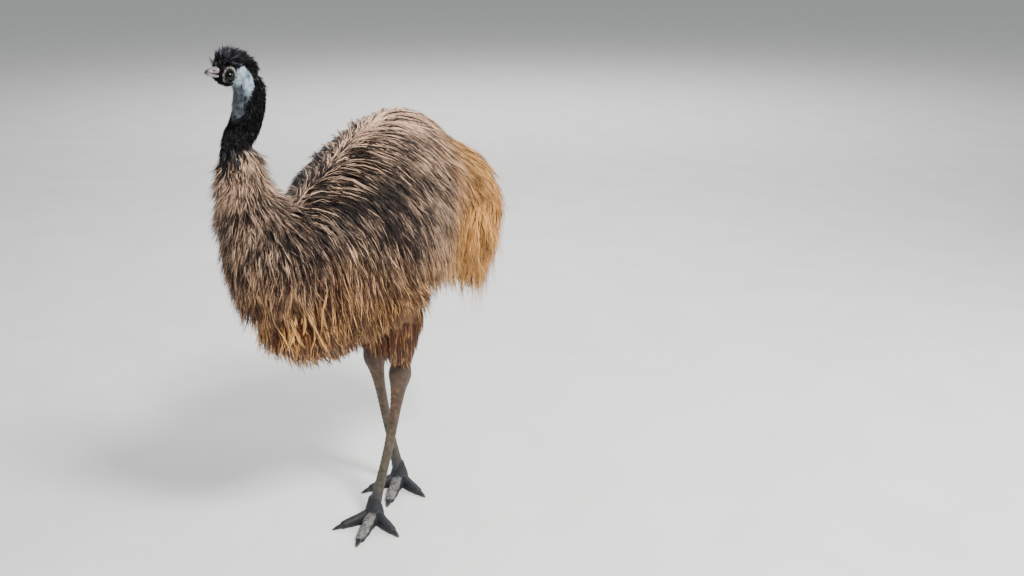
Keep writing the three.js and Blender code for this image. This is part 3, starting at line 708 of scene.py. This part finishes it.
paint, place, attribute, feed = material("eye_paint", 0.06, Coat_Weight=0.06, Specular_IOR_Level=0.16)
polar = attribute("polar").part(0)
iris = (place.noise(900, 2) * 0.5 + polar.ramp(0.4, 0.6)).mix(colour(16, 10, 7), colour(5, 4, 4))
feed(Base_Color=polar.ramp(0.34, 0.38).mix(colour(4, 4, 5), iris))
for name, side in SIDES.items():
    ball, polar = dome(EYE_RADIUS)
    gaze = np.stack([GAZE, GAZE_SIDE, [0, 0, 1]])
    ball = (ball @ gaze + EYE) * [side, 1, 1]
    ball = from_head(ball if side < 0 else ball[:, ::-1])
    points, quads, fans = loft(ball)
    eye = mesh_of(f"eye_{name}_globe", points, quads, fans)
    near = np.append(np.repeat(polar[:, 0], ball.shape[1]), [0, np.pi])
    give(eye, "polar", near[:, None] * [1, 0, 0])
    dress(eye, paint, "eye_gloss", f"eye_{name}")


# The bill: two halves of hard grey horn, which have grown over the jaws and are closed on each other. The
# upper one is ridged along its top and hooked down over the lower, and has a nostril on each side.
BILL_TIP = -71.4  # Y in the head's frame
UPPER_BILL = [(30, 8, -8, 14), (22.5, 6, -8, 12.5), (13.5, 3, -8.5, 10), (5.4, -1, -9, 7),
              (1.5, -4.5, -10, 4.5), (0, -7, -10.5, 2.5)]
LOWER_BILL = [(30, -9, -16.5, 13), (19.2, -9.4, -15.5, 10.5), (8.4, -10, -14, 6.5), (3, -11, -12.5, 3)]


def nostril(q):
    """How far points of the head's frame are from a nostril's middle, as a share of its oval."""
    return np.hypot((q[..., 1] + 53.4) / 4.5, (q[..., 2] + 1) / 1.9)


def bill_half(rows, ridge):
    """Rings of a bill half in the head's frame, from its base to its tip. Its rows hold the distance left to
    the tip, the top, the bottom and the half width. A ring is a slightly squared oval, with a ridge on top
    and its sides drawn in round the nostrils."""
    rows = np.array(rows, float)
    left = np.linspace(rows[0, 0], rows[-1, 0], 70)[:, None]
    top, bottom, half = (np.interp(left, rows[::-1, 0], rows[::-1, k]) for k in (1, 2, 3))
    turn = circle(64)
    lift = np.sign(np.cos(turn)) * np.abs(np.cos(turn)) ** 0.9
    lift = lift + ridge * np.exp(-((np.minimum(turn, 2 * np.pi - turn) / 0.28) ** 2))
    across = half * np.sign(np.sin(turn)) * np.abs(np.sin(turn)) ** 0.85
    up = (top + bottom) / 2 + (top - bottom) / 2 * lift
    grid = np.stack([across, BILL_TIP + left + 0 * turn, up], -1)
    grid[..., 0] *= 1 - 0.25 * (1 - smooth(nostril(grid), 0.55, 1.1))
    return grid


paint, place, attribute, feed = material("bill_paint", 0.38, Specular_IOR_Level=0.5)
bill = attribute("bill")
grain = place.noise(260, 4).ramp(0.3, 0.75)
tint = grain.mix(colour(98, 86, 90), colour(158, 142, 144))
# the dark share holds the ridge line's own darker horn and the nostrils' dark ovals, which are painted shade
# of their openings
tint = bill.part(1).mix(tint, colour(70, 64, 68))
tint = bill.part(0).mix(tint, colour(48, 44, 47))
feed(Base_Color=tint, Normal=place.noise(500, 3).bump(0.0004, 0.5))
for half_name, rows, ridge in (("upper", UPPER_BILL, 0.16), ("lower", LOWER_BILL, 0.0)):
    grid = bill_half(rows, ridge)
    points, quads, fans = loft(grid)
    half_bill = mesh_of(f"bill_{half_name}_horn", from_head(points), quads, fans)
    tip = smooth(-points[:, 1], 60, 71)
    ridge_line = np.exp(-((points[:, 0] / 2.6) ** 2)) * (points[:, 2] > -6)
    # dark ovals round the nostrils are painted shade of their openings
    dark = np.maximum(ridge_line, 1.2 * (1 - smooth(nostril(points), 0.6, 1.1)))
    give(half_bill, "bill", np.stack([tip, np.clip(dark, 0, 1), 0 * tip], -1))
    dress(half_bill, paint, "bill_horn", f"bill_{half_name}")


# The coat: loose double feathers in clumps of thin tapered strands, rooted in the skin. They fall from the
# parting along the back outwards, back and down, and hang free where the body turns under.
def ripple(p):
    """Smooth noise from about -1 to 1 over points: the sum of four sines with waves some 60 to 90 mm long."""
    waves = [[0.061, -0.029, 0.043, 0.017], [0.023, 0.071, -0.037, 0.045], [-0.035, 0.027, 0.059, -0.087]]
    return np.sin(p @ np.array(waves) + [0.3, 2.1, 4.0, 5.2]).sum(-1) / 2.4


def lie_of_trunk(p, out):
    """Outwards and back from the parting, then down, and back under the belly."""
    top, under = np.maximum(out[:, 2], 0), smooth(-out[:, 2], 0.05, 0.6)
    low = smooth(p[:, 2], 620, 900)
    back = rise(p[:, 1], (-400, 0.02), (-120, 0.3), (300, 0.6)) * (1 - top) * (0.4 + 0.6 * low) + 0.85 * top
    back = back + 0.2 * under
    sideways = np.clip(p[:, 0] / 5, -1, 1) * 0.95 * top
    fall = np.stack([sideways, back, 0.8 * top**2 - 1], -1)
    lie = along_plane(fall, out) + 0.15 * under[:, None] * (fall * out).sum(-1, keepdims=True) * out
    lie[out[:, 2] < 0, 0] *= 0.3
    return unit(lie)


def trunk_fullness(root, down):
    """How much deeper the coat lies on shoulders and chest, and how much shorter it is below the middle."""
    y, z = root[:, 1], root[:, 2]
    shoulder = smooth(z, 930, 1040) * (1 - smooth(z, 1120, 1180)) * (1 - smooth(y, 0, 150))
    chest = smooth(-y, 270, 370) * (1 - smooth(z, 800, 900))
    below = rise(y, (-330, 0.74), (-200, 0.46), (-50, 0.3), (200, 0.36))
    return 1 + 0.44 * shoulder + 0.7 * chest, 1 - smooth(down, 0.1, 0.5) * (1 - below)


def lie_down(p, out):
    """Straight down over the form, and off it where it turns under."""
    under = smooth(-out[:, 2], 0.0, 0.5)[:, None]
    return unit(along_plane(np.array([0, 0.02, -1.0]), out) - 0.8 * under * out[:, 2:] * out)


STEPS = 8  # along a clump's line


def march(level, lie, root, length, depth, sway):
    """Lines that start on a form, climb evenly to their depth over it and follow the lie with a sway, and
    hang free where it turns under: their points, and the outward directions there. Sway holds an angle, a
    swing, how often it swings and where it starts."""
    out = outward(level, root)
    heading = lie(root, out)
    points, outs = [root], [out]
    for k in range(1, STEPS + 1):
        out = outward(level, points[-1])
        heading = unit(0.5 * heading + lie(points[-1], out))
        angle = sway[:, 0] + sway[:, 1] * np.sin(2 * np.pi * (sway[:, 2] * k / STEPS + sway[:, 3]))
        swung = heading * np.cos(angle)[:, None] + np.cross(out, heading) * np.sin(angle)[:, None]
        point = points[-1] + swung * (length / STEPS)[:, None]
        short = depth * k / STEPS - level(point)
        short[(short < 0) & (out[:, 2] < -0.15)] = 0
        points.append(point + out * np.clip(short, -20, 20)[:, None])
        outs.append(out)
    return np.stack(points, 1), np.stack(outs, 1)


def settled(p, level):
    """Points moved onto a form: three times along the outward direction by as much as they are outside it."""
    for _ in range(3):
        p = p - level(p)[:, None] * outward(level, p, 0.5)
    return p


BURIED = -18  # how deep under the other forms a root is left out
EVEN_STEPS = (0.8191725134, 0.6710436067, 0.5497004779)  # their multiples, less whole numbers, fill a cube


def strewn(count, density, place, level=skin_level):
    """Roots on a form: the places that pairs of shares give, and the pairs. A sequence that fills the cube
    evenly gives three shares, of which the third keeps a pair by its density."""
    k = np.arange(1, count * 16)
    u, v, w = (np.mod(k * step + 0.5, 1) for step in EVEN_STEPS)
    weight = density(u, v)
    chosen = np.flatnonzero(w < weight / weight.max())[: count * 2]
    root = place(u[chosen], v[chosen])
    free = level(root) > BURIED
    chosen, root = chosen[free][:count], root[free][:count]
    return settled(root, level), np.stack([u[chosen], v[chosen]], -1)


def strands(name, paint, slot, root, uv, lie, length, depth, each, flick, seed, width=2.4, spread=3.4,
            rings=4, gather=0.5, swing=0.22, level=skin_level, look=plumage_at, own=0.0):
    """A coat piece: clumps of so many strands each, which start beside their clump's line and gather towards
    it. A strand is a closed strip of three sides, widest in its middle, that ends in a point; its tip flicks
    off the form. Own is the root's share in the place that its colours are read at."""
    draw = np.random.default_rng(seed)
    n = len(root)
    length = length * draw.uniform(0.72, 1.1, n)
    depth = depth * draw.uniform(0.45, 1.0, n)
    wave = ripple(root)
    sway = np.stack([0.5 * swing * wave + draw.normal(0, 0.35 * swing, n), draw.uniform(0.3, 1.1, n) * swing,
                     draw.uniform(0.7, 1.5, n), 0.25 * wave + draw.uniform(-0.12, 0.12, n)], -1)
    lines, outs = march(level, lie, root, length, depth, sway)
    owner = np.repeat(np.arange(n), each)
    total = len(owner)
    share = np.linspace(0, 1, rings + 1)
    reach = draw.uniform(0.72, 1.0, total)
    place = np.clip(share[None] * reach[:, None] * STEPS, 0, STEPS - 1e-6)
    k = place.astype(int)
    t = (place - k)[..., None]
    line = lines[owner[:, None], k] * (1 - t) + lines[owner[:, None], k + 1] * t
    out = unit(outs[owner[:, None], k] * (1 - t) + outs[owner[:, None], k + 1] * t)
    ahead = unit(np.gradient(line, axis=1))
    side = unit(np.cross(ahead, out))
    out = np.cross(side, ahead)
    apart = np.clip(draw.normal(0, 1, (total, 2)), -2.2, 2.2) * spread
    loose = 1 - gather * smooth(share, 0.05, 0.95)
    wave = np.sin(2 * np.pi * (share[None] * draw.uniform(0.5, 1.3, (total, 1)) + draw.random((total, 1))))
    wave = wave * share[None] * length[owner][:, None] * 0.014
    line = line + side * (apart[:, :1] * loose + wave)[..., None]
    line += ahead[:, :1] * (apart[:, 1:] * 1.4)[..., None]
    lifted = draw.uniform(-0.16, 0.12, total)[:, None] * share * depth[owner][:, None] - 2.0 * (1 - share)
    lifted = lifted + (flick * draw.uniform(-0.3, 1, n))[owner][:, None] * share**3
    line += out * lifted[..., None]
    roll = draw.uniform(-0.6, 0.6, (total, 1, 1))
    across = side * np.cos(roll) + out * np.sin(roll)
    up = np.cross(across, ahead)
    taper = rise(share, (0, 0.6), (0.3, 1), (0.7, 0.8), (1, 0))
    half = width / 2 * draw.uniform(0.6, 1.35, total)[:, None] * taper
    half = half[..., None]
    rim = [line + across * half, line - across * half, line + up * half * 0.7]
    rim = np.stack(rim, 2)[:, :-1].reshape(total, rings * 3, 3)
    points = np.concatenate([rim, line[:, -1:]], 1)
    first = (np.arange(total) * (rings * 3 + 1))[:, None, None]
    quads = [[k * 3 + i, k * 3 + (i + 1) % 3, k * 3 + 3 + (i + 1) % 3, k * 3 + 3 + i]
             for k in range(rings - 1) for i in range(3)]
    end = rings * 3 - 3
    tips = [[end + i, end + (i + 1) % 3, end + 3] for i in range(3)] + [[0, 2, 1]]
    quads = (first + np.array(quads)).reshape(-1, 4)
    tips = (first + np.array(tips)).reshape(-1, 3)
    made = mesh_of(name, points.reshape(-1, 3), quads, tips)
    along = np.append(np.repeat(share[:-1], 3), 1)
    tone, clump = draw.random(total), draw.random(n)[owner]
    numbers = np.stack(np.broadcast_arrays(along[None], tone[:, None], clump[:, None]), -1)
    give(made, "strand", numbers)
    soft = draw.normal(0, 22, (n, 1, 3))[owner] + own * line[:, :1] + (1 - own) * line
    region = look(soft)
    give(made, "plumage", np.concatenate([np.repeat(region[:, :-1], 3, axis=1), region[:, -1:]], 1))
    patch = np.stack([np.append(np.tile([0, 1, 0.5], rings), 0.5), along], -1) * 0.003
    corners = np.concatenate([quads.ravel(), tips.ravel()])
    spot = ((uv[owner] * 0.99 + 0.003)[:, None] + patch).reshape(-1, 2)
    layer = made.data.uv_layers.new(name="OFBake").data
    layer.foreach_set("uv", spot[corners].astype(np.float32).ravel())
    dress(made, paint, slot)


def coat_paint(name, roughness, gloss):
    """Strand colours: grey-brown or golden, paler or darker by clump, strand and the plumage's pale share,
    which holds painted highlights, with dark tips and painted shade towards the root; or black, with a
    painted grey sheen where the down's pale share is high.
    """
    paint, place, attribute, feed = material(name, roughness, Specular_IOR_Level=gloss)
    strand, region = attribute("strand"), attribute("plumage")
    along, tone, clump = (strand.part(k) for k in range(3))
    golden, pale, black = (region.part(k) for k in range(3))
    # pale holds the painted highlights on the upper back and the rear
    light = tone * 0.75 + clump * 0.5 + place.noise(18) * 0.8 + pale * 0.85 - 0.98
    grey = light.ramp(0.2, 0.85).mix(colour(30, 20, 16), colour(255, 212, 178))
    gold = (light + 0.08).ramp(0.28, 0.82).mix(colour(84, 40, 14), colour(255, 192, 112))
    # where the down's pale share is high, on the crown's front, its grey is a painted sheen
    down = (tone * 0.5 + clump * 0.5 + pale - 0.5).ramp(0.2, 1.0).mix(colour(3, 3, 3), colour(128, 128, 138))
    tint = golden.mix(grey, gold)
    tip = along.ramp(0.78, 0.98) * (clump * 0.9)
    tint = tip.mix(tint, colour(44, 30, 24))
    # towards the root each strand is painted darker: painted shade deep in the coat
    root = along.ramp(0.0, 0.25, 0.6, 0.0)
    tint = root.mix(tint, colour(40, 29, 24))
    feed(Base_Color=black.ramp(0.35, 0.65).mix(tint, down))
    return paint


def trunk_along(u):
    """From chest to rump, where the trunk's roots lie."""
    return -0.985 + 1.96 * u


feathers = coat_paint("feathers", 0.5, 0.4)
# degrees from the parting where each part starts and ends, the strands' lengths there, and their depths there
PARTS = {
    "upper": (0, 46, 215, 240, 32, 42),
    "middle": (46, 92, 235, 220, 41, 42),
    "lower": (92, 174, 210, 145, 42, 40),
}
for part, (near, far, long, short, thin, thick) in PARTS.items():
    for name, side in SIDES.items():
        def place_of(u, v):
            return trunk_point(trunk_along(u), side * np.radians(near + (far - near) * v))

        def density(u, v):
            ahead = place_of(np.minimum(u + 1e-4, 1), v) - place_of(u, v)
            around = place_of(u, v + 1e-4) - place_of(u, v)
            return np.linalg.norm(np.cross(ahead, around), axis=-1)

        root, uv = strewn(1250, density, place_of)
        down = uv[:, 1]
        deeper, shorter = trunk_fullness(root, down if part == "lower" else 0 * down)
        loose = smooth(-root[:, 2], -860, -640)
        strands(f"coat_{part}_{name}", feathers, "body_plumage", root, uv, lie_of_trunk,
                (long + (short - long) * down) * shorter, (thin + (thick - thin) * down) * deeper,
                each=5, flick=6 + 10 * loose, seed=10 + near + side, width=2.6 + 0.4 * (part == "lower"),
                gather=0.6 if part == "upper" else 0.75, swing=0.24 + 0.22 * loose)


def lie_back(p, out):
    """Back along the ridge, a little outwards."""
    return unit(along_plane(p * [1, 0, 0] / 30 + [0, 1, -0.3], out))


def ridge_root(u, v):
    """A point of the trunk's ridge, within a few degrees of the parting."""
    return trunk_point(-0.9 + 1.82 * u, np.radians(20 * v - 10))


root, uv = strewn(800, lambda u, v: 1 + 0 * u, ridge_root)
strands("coat_parting", feathers, "body_plumage", root, uv, lie_back, 90.0,
        rise(root[:, 1], (-100, 16), (50, 7)), each=4, flick=3.0, seed=9, rings=3, swing=0.7)


def limb_roots(limb, count, start, stop, level=skin_level):
    """Roots round a limb between two shares of its line, strewn evenly over its area, and those shares."""
    def share(u):
        return start + (stop - start) * u

    root, uv = strewn(count, lambda u, v: limb.wide(share(u)) + limb.deep(share(u)),
                      lambda u, v: limb.point(share(u), 2 * np.pi * v), level)
    return root, uv, share(uv[:, 0])


# The tail: a skirt of long, soft, golden feathers. They are rooted in the rump and hang straight down behind
# it by their own weight, and a few thin wisps stand off the rest.
root, uv, share = limb_roots(tail, 1250, 0.2, 0.98)
strands("coat_tail", feathers, "tail_plumage", root, uv, lie_down, rise(share, (0.2, 275), (1, 175)), 36.0,
        each=5, flick=22.0, seed=31, width=2.6, spread=5.0, gather=0.85, swing=0.5)
root, uv, share = limb_roots(tail, 260, 0.25, 0.8)
strands("coat_wisps", feathers, "tail_plumage", root, uv, lie_down, 330.0, 44.0,
        each=3, flick=27.0, seed=32, width=1.5, gather=0.2, swing=0.6)

# The ruff: shorter feathers round the lower half of the neck, pale with dark tips. They are rooted in its
# skin and stand out from it, more behind than in front.
RUFF = {"base": (1300, 0.05, 0.42, 130, 100, 41), "middle": (1050, 0.4, 0.665, 100, 62, 42)}
for part, (count, start, stop, long, short, seed) in RUFF.items():
    root, uv, share = limb_roots(neck, count, start, stop)
    behind = 1 + 0.7 * np.maximum(np.sin(2 * np.pi * uv[:, 1]), 0)
    strands(f"coat_ruff_{part}", feathers, "neck_plumage", root, uv, lie_down,
            rise(share, (start, long), (stop, short)), rise(share, (start, 34), (stop, 20)) * behind,
            each=5, flick=20.0, seed=seed, width=2.1, spread=3.2, rings=3, gather=0.8, swing=0.4, own=0.6)

# The thighs: short tawny feathers over the drumsticks, rooted in their skin. They lie close to it, shorten
# down the leg and end just above the bare hock.
for k, (name, leg) in enumerate(legs.items()):
    root, uv, share = limb_roots(leg, 620, 0.05, 0.315, leg.level)
    strands(f"coat_thigh_{name}", feathers, "body_plumage", root, uv, lie_down,
            rise(share, (0.05, 110), (0.24, 60), (0.315, 22)),
            rise(share, (0.05, 22), (0.24, 10), (0.315, 3.5)),
            each=5, flick=2.5, seed=51 + k, width=2.0, spread=2.4, rings=3, level=leg.level,
            look=lambda p: 0 * p + [0.9, 0.05, 0])


# The down: short, black, hair-like feathers, rooted in the skin of the upper neck and the head, and so thin
# there that its bare patches stay open. They are longer and upright on the crown.
def neck_lie(p, out):
    """Down the neck."""
    return unit(along_plane(np.array([0, 0.12, -1.0]), out))


def head_lie(p, out):
    """Back over the head from the bill, and down behind it."""
    q = to_head(p)
    down = smooth(q[:, 1], 20, 60)[:, None]
    return unit(along_plane(from_head(np.array([0.0, 1, -0.15])) - EYES + down * [0, 0, -1.5], out))


def black_down(p):
    """The look of the down: black, with a painted grey sheen in places on the crown's front."""
    sheen = smooth(p[..., 2], 1322, 1352) * smooth(-p[..., 1], 440, 490)
    sheen = sheen * (0.5 + 0.5 * np.sin(p @ [0.11, 0.17, 0.09]))
    return np.stack([0 * sheen, 0.08 + 0.6 * sheen, 0 * sheen + 1], -1)


root, uv, share = limb_roots(neck, 3400, 0.6, 0.985)
GOLDEN_RATIO = 0.6180339887  # its multiples, less whole numbers, fill the span from 0 to 1
chance = np.mod(np.arange(len(root)) * GOLDEN_RATIO, 1)
kept_down = (bare_at(root)[:, 0] < 0.1 + 0.95 * chance**1.5) & (plumage_at(root)[:, 2] > 0.4)
root, uv = root[kept_down], uv[kept_down]
nape = smooth(root[:, 2], 1245, 1285) * np.maximum(np.sin(2 * np.pi * uv[:, 1]), 0)
downy = coat_paint("downy", 0.6, 0.1)
strands("down_neck", downy, "black_down", root, uv, neck_lie, 17 + 12 * nape, 4.2 + 9 * nape,
        each=4, flick=3 + 5 * nape, seed=61, width=1.4, spread=2.4, rings=2, swing=0.4, look=black_down)


def skull_root(u, v):
    """A point of the skull at a share from the bill back and a share round it, in the bird's frame."""
    return from_head(skull_point(u, 2 * np.pi * v))


root, uv = strewn(3000, lambda u, v: 10 + skull_rows[3](u), skull_root)
bare = bare_at(root)
q = to_head(root)
kept_down = (bare[:, 0] < 0.45) & (bare[:, 1] < 0.08) & (bare[:, 2] < 0.2) & (q[:, 1] > -43)
root, uv, q = root[kept_down], uv[kept_down], q[kept_down]
up = smooth(q[:, 2], 6, 26)
crown = up * rise(q[:, 1], (-44, 22), (-26, 33), (-8, 25), (30, 16), (66, 18))
jaw = 3 * smooth(-q[:, 2], 12, 26)
strands("down_head", downy, "black_down", root, uv, head_lie, 4.5 + 4 * smooth(q[:, 1], 0, 30) + crown,
        2.4 + 0.7 * crown + jaw, each=4, flick=2.0, seed=62, width=1.3, spread=1.8, rings=2, swing=0.6,
        look=black_down)

# longer tufts stand up on the crown and fall over the bill's base and the nape in all directions
chosen = np.flatnonzero((q[:, 2] > 12) & (q[:, 1] > -37) & (np.abs(q[:, 0]) < 17))[::5]
root, uv, q = root[chosen], uv[chosen], q[chosen]
tall = rise(q[:, 1], (-44, 36), (-28, 46), (-12, 31), (30, 20), (66, 27))
strands("down_tufts", downy, "black_down", root, uv, head_lie, tall,
        tall * rise(q[:, 1], (-30, 0.8), (0, 0.6)), each=10, flick=6.0, seed=63, width=1.3, spread=3.0,
        rings=3, gather=0.7, swing=1.2, look=black_down)


# The shanks: the bare bony legs from the hock down, in tough horny skin that goes on from the thighs' ends to
# the feet. Small scales cover them, and a row of wide scutes runs down the front.
SCUTES = 26
SHANK_RINGS, SHANK_SIDES = 380, 48
SCUTE_TOP = 0.42  # share of the leg where the scutes begin


def shank_grid(leg):
    """Rings of a shank from the hock down, and its share of scutes. A scute stands out from the limb by the
    square of how far down it a point is, and knobs stand out in a bell round the hock."""
    share, turn = np.linspace(HOCK_TOP, 1, SHANK_RINGS)[:, None], circle(SHANK_SIDES)
    plate = (share - SCUTE_TOP) / (1 - SCUTE_TOP) * SCUTES
    front, begun = smooth(np.sin(turn), 0.35, 0.62), smooth(share, SCUTE_TOP, 0.46)
    step = (plate - np.floor(plate)) ** 2 * 1.3 * begun
    knob = np.exp(-(((share - 0.392) / 0.035) ** 2)) * 1.6 * np.cos(5 * turn) ** 2
    return leg.point(share, turn, front * step + knob), front * begun


paint, place, attribute, feed = material("shank_paint", 0.55)
leg_marks = attribute("leg")
low, front = leg_marks.part(0), leg_marks.part(1)
grain = place.noise(70, 5).ramp(0.3, 0.72)
tint = grain.mix(colour(60, 40, 25), colour(100, 71, 48))
tint = low.ramp(0.335, 0.4).mix(colour(58, 38, 26), tint)
olive = grain.mix(colour(50, 44, 32), colour(84, 77, 59))
tint = low.ramp(0.42, 0.8).mix(tint, olive)
tint = low.ramp(0.86, 0.97).mix(tint, colour(44, 46, 52))
scales = place.cells(330, "DISTANCE_TO_EDGE").ramp(0.0, 0.18)
tint = (scales * 0.5 + 0.5 + front * 0.5).ramp(0.4, 1.0).mix(colour(62, 48, 40), tint)
feed(Base_Color=tint, Normal=((1.0 - front) * scales + place.noise(400, 3) * 0.4).bump(0.0009, 0.7))
for name, leg in legs.items():
    grid, front = shank_grid(leg)
    points, quads, fans = loft(grid)
    shank = mesh_of(f"shank_{name}_hide", points, quads, fans)
    share = np.append(np.repeat(np.linspace(0.0, 1, SHANK_RINGS), SHANK_SIDES), [0, 1])
    share = HOCK_TOP + (1 - HOCK_TOP) * share
    front = np.append(front.ravel(), [0, 0])
    give(shank, "leg", np.stack([share, front, 0 * front], -1))
    dress(shank, paint, "leg_scales", f"shank_{name}")


# The feet: a padded hub and three thick toes in one scaled hide, with a row of scutes on top that is paler
# where it is high, with dust and a painted highlight, most on the middle toe. A claw of dark horn grows out
# of each toe and curves down to the floor.
HEADINGS = {"left": 26, "right": 30}  # degrees from straight ahead
TOES = {"middle": (0, 134, 38), "inner": (-50, 104, 32), "outer": (50, 104, 32)}  # degrees, length, width
PAD = [(0, 25), (2, 27.5), (7, 29), (28, 28), (42, 25), (54, 21), (66, 17.5), (76, 15)]  # height, radius
FOOT_VOXEL = 0.0016  # metres


def turned(p, degrees):
    """Points turned about the upright axis."""
    c, s = math.cos(math.radians(degrees)), math.sin(math.radians(degrees))
    return p @ np.array([[c, s, 0], [-s, c, 0], [0, 0, 1]])


def toe_grid(long, wide):
    """Rings of a toe that points along -Y, flat underneath: ovals that taper and round off to its end, wider
    by a cosine at each of its three pads."""
    share, turn = np.linspace(1.0, 0.0, 60)[:, None], circle(40)
    end = np.sqrt(1 - smooth(share, 0.86, 1.02) ** 2 * 0.72)
    half = wide / 2 * (1.1 - 0.34 * share) * (1 + 0.07 * np.cos(share * 6 * np.pi)) * end
    top = (44 - 26 * share) * (0.6 + 0.4 * end)
    up = np.maximum(top * (0.42 + 0.58 * np.cos(turn)), 0)
    return np.stack([half * np.sin(turn), -share * long + 0 * turn, up], -1)


def relaxed(points, mesh, passes):
    """Points moved 0.6 of the way to the middle of their neighbours along the mesh's edges, over and over."""
    ends = np.empty(len(mesh.edges) * 2, np.int32)
    mesh.edges.foreach_get("vertices", ends)
    one, other, size = ends[0::2], ends[1::2], len(points)
    count = np.bincount(ends, minlength=size)[:, None]
    for _ in range(passes):
        total = [np.bincount(one, row[other], size) + np.bincount(other, row[one], size) for row in points.T]
        points = points + 0.6 * (np.stack(total, -1) / count - points)
    return points


paint, place, attribute, feed = material("foot_paint", 0.62)
foot_marks = attribute("foot")
grain = place.noise(120, 5).ramp(0.3, 0.72)
tint = grain.mix(colour(12, 14, 17), colour(34, 37, 42))
scales = place.cells(260, "DISTANCE_TO_EDGE").ramp(0.0, 0.2)
tint = (scales * 0.6 + 0.4 + foot_marks.part(1)).ramp(0.3, 1.0).mix(colour(14, 15, 18), tint)
# paler on the toes' tops, most on the middle one: dust, and a painted highlight of light from above
dust_and_highlight = (foot_marks.part(0) * (0.3 + place.noise(60, 5) * 1.1)).ramp(0.25, 1.0)
tint = (dust_and_highlight * 0.66).mix(tint, grain.mix(colour(84, 83, 82), colour(158, 154, 149)))
relief = (1.0 - foot_marks.part(1)) * scales + place.noise(380, 3) * 0.5
feed(Base_Color=tint, Normal=relief.bump(0.001, 0.7))
horn, place, attribute, feed = material("claw_paint", 0.35, Specular_IOR_Level=0.5)
along = attribute("claw").part(0)
tint = along.ramp(0.55, 1.0).mix(colour(30, 29, 31), colour(84, 76, 70))
feed(Base_Color=tint, Normal=place.noise(300, 3).bump(0.0005, 0.5))
for name, leg in legs.items():
    side = SIDES[name]
    ankle = leg.centre[-1] * [1, 1, 0]
    (height, radius), ring = np.array(PAD).T[..., None], circle(48)
    pad = np.stack([radius * np.cos(ring), radius * np.sin(ring), height + 0 * ring], -1)
    lofts = [pad] + [turned(toe_grid(long, wide), turn * side) for turn, long, wide in TOES.values()]
    lofts = [turned(grid, HEADINGS[name]) + ankle for grid in lofts]
    foot_mesh = melt(f"foot_{name}_hide", lofts, FOOT_VOXEL)
    points = relaxed(points_of(foot_mesh), foot_mesh, 5)
    local = turned(points - ankle, -HEADINGS[name])
    dusty_and_lit, plated, raised = np.zeros((3, len(points)))
    for toe, (turn, long, wide) in TOES.items():
        q = turned(local, -turn * side)
        share, off = -q[:, 1] / long, np.abs(q[:, 0]) / wide
        high = smooth(share, 0.12, 0.3) * (1 - smooth(off, 0.34, 0.52)) * smooth(q[:, 2], 8, 15)
        on = smooth(share, 0.16, 0.24) * (1 - smooth(off, 0.3, 0.42)) * (share < 1.1)
        on = on * smooth(q[:, 2], 12, 17)
        plate = share * 15
        raised += on * 1.3 * (plate - np.floor(plate)) ** 2
        plated = np.maximum(plated, on)
        # the toes' tops are paler by dust and a painted highlight
        dusty_and_lit = np.maximum(dusty_and_lit, high * (1.0 if toe == "middle" else 0.12))
    points[:, 2] = np.maximum(points[:, 2] + raised, 0)
    foot = shaped(foot_mesh, points)
    give(foot, "foot", np.stack([dusty_and_lit, plated, 0 * dusty_and_lit], -1))
    dress(foot, paint, "foot_scales", f"foot_{name}", *(f"toe_{name}_{toe}" for toe in TOES))
    for toe, (turn, long, wide) in TOES.items():
        # a claw's rings start 7 mm inside the toe's end, and taper and sink over 33 mm
        along, turns = np.linspace(0, 1, 28)[:, None], circle(24)
        half = 8.5 * np.sqrt(np.maximum(1 - along**1.7, 0.004))
        high, low_side = 15 - 12.6 * along**1.3, 2.2 * (1 - along) + 0.3
        up = (high + low_side) / 2 + (high - low_side) / 2 * np.cos(turns)
        grid = np.stack([half * np.sin(turns), -long + 7 - 33 * along + 0 * turns, up], -1)[::-1]
        points, quads, fans = loft(turned(turned(grid, turn * side), HEADINGS[name]) + ankle)
        claw = mesh_of(f"claw_{name}_{toe}_horn", points, quads, fans)
        share = np.append(np.repeat(np.linspace(1, 0, 28), 24), [1, 0])
        give(claw, "claw", share[:, None] * [1, 0, 0])
        dress(claw, horn, "claw_horn", f"claw_{name}_{toe}")

low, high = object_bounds()
{"cad": [list(cad_low), list(cad_high)], "visual": [list(low), list(high)]}
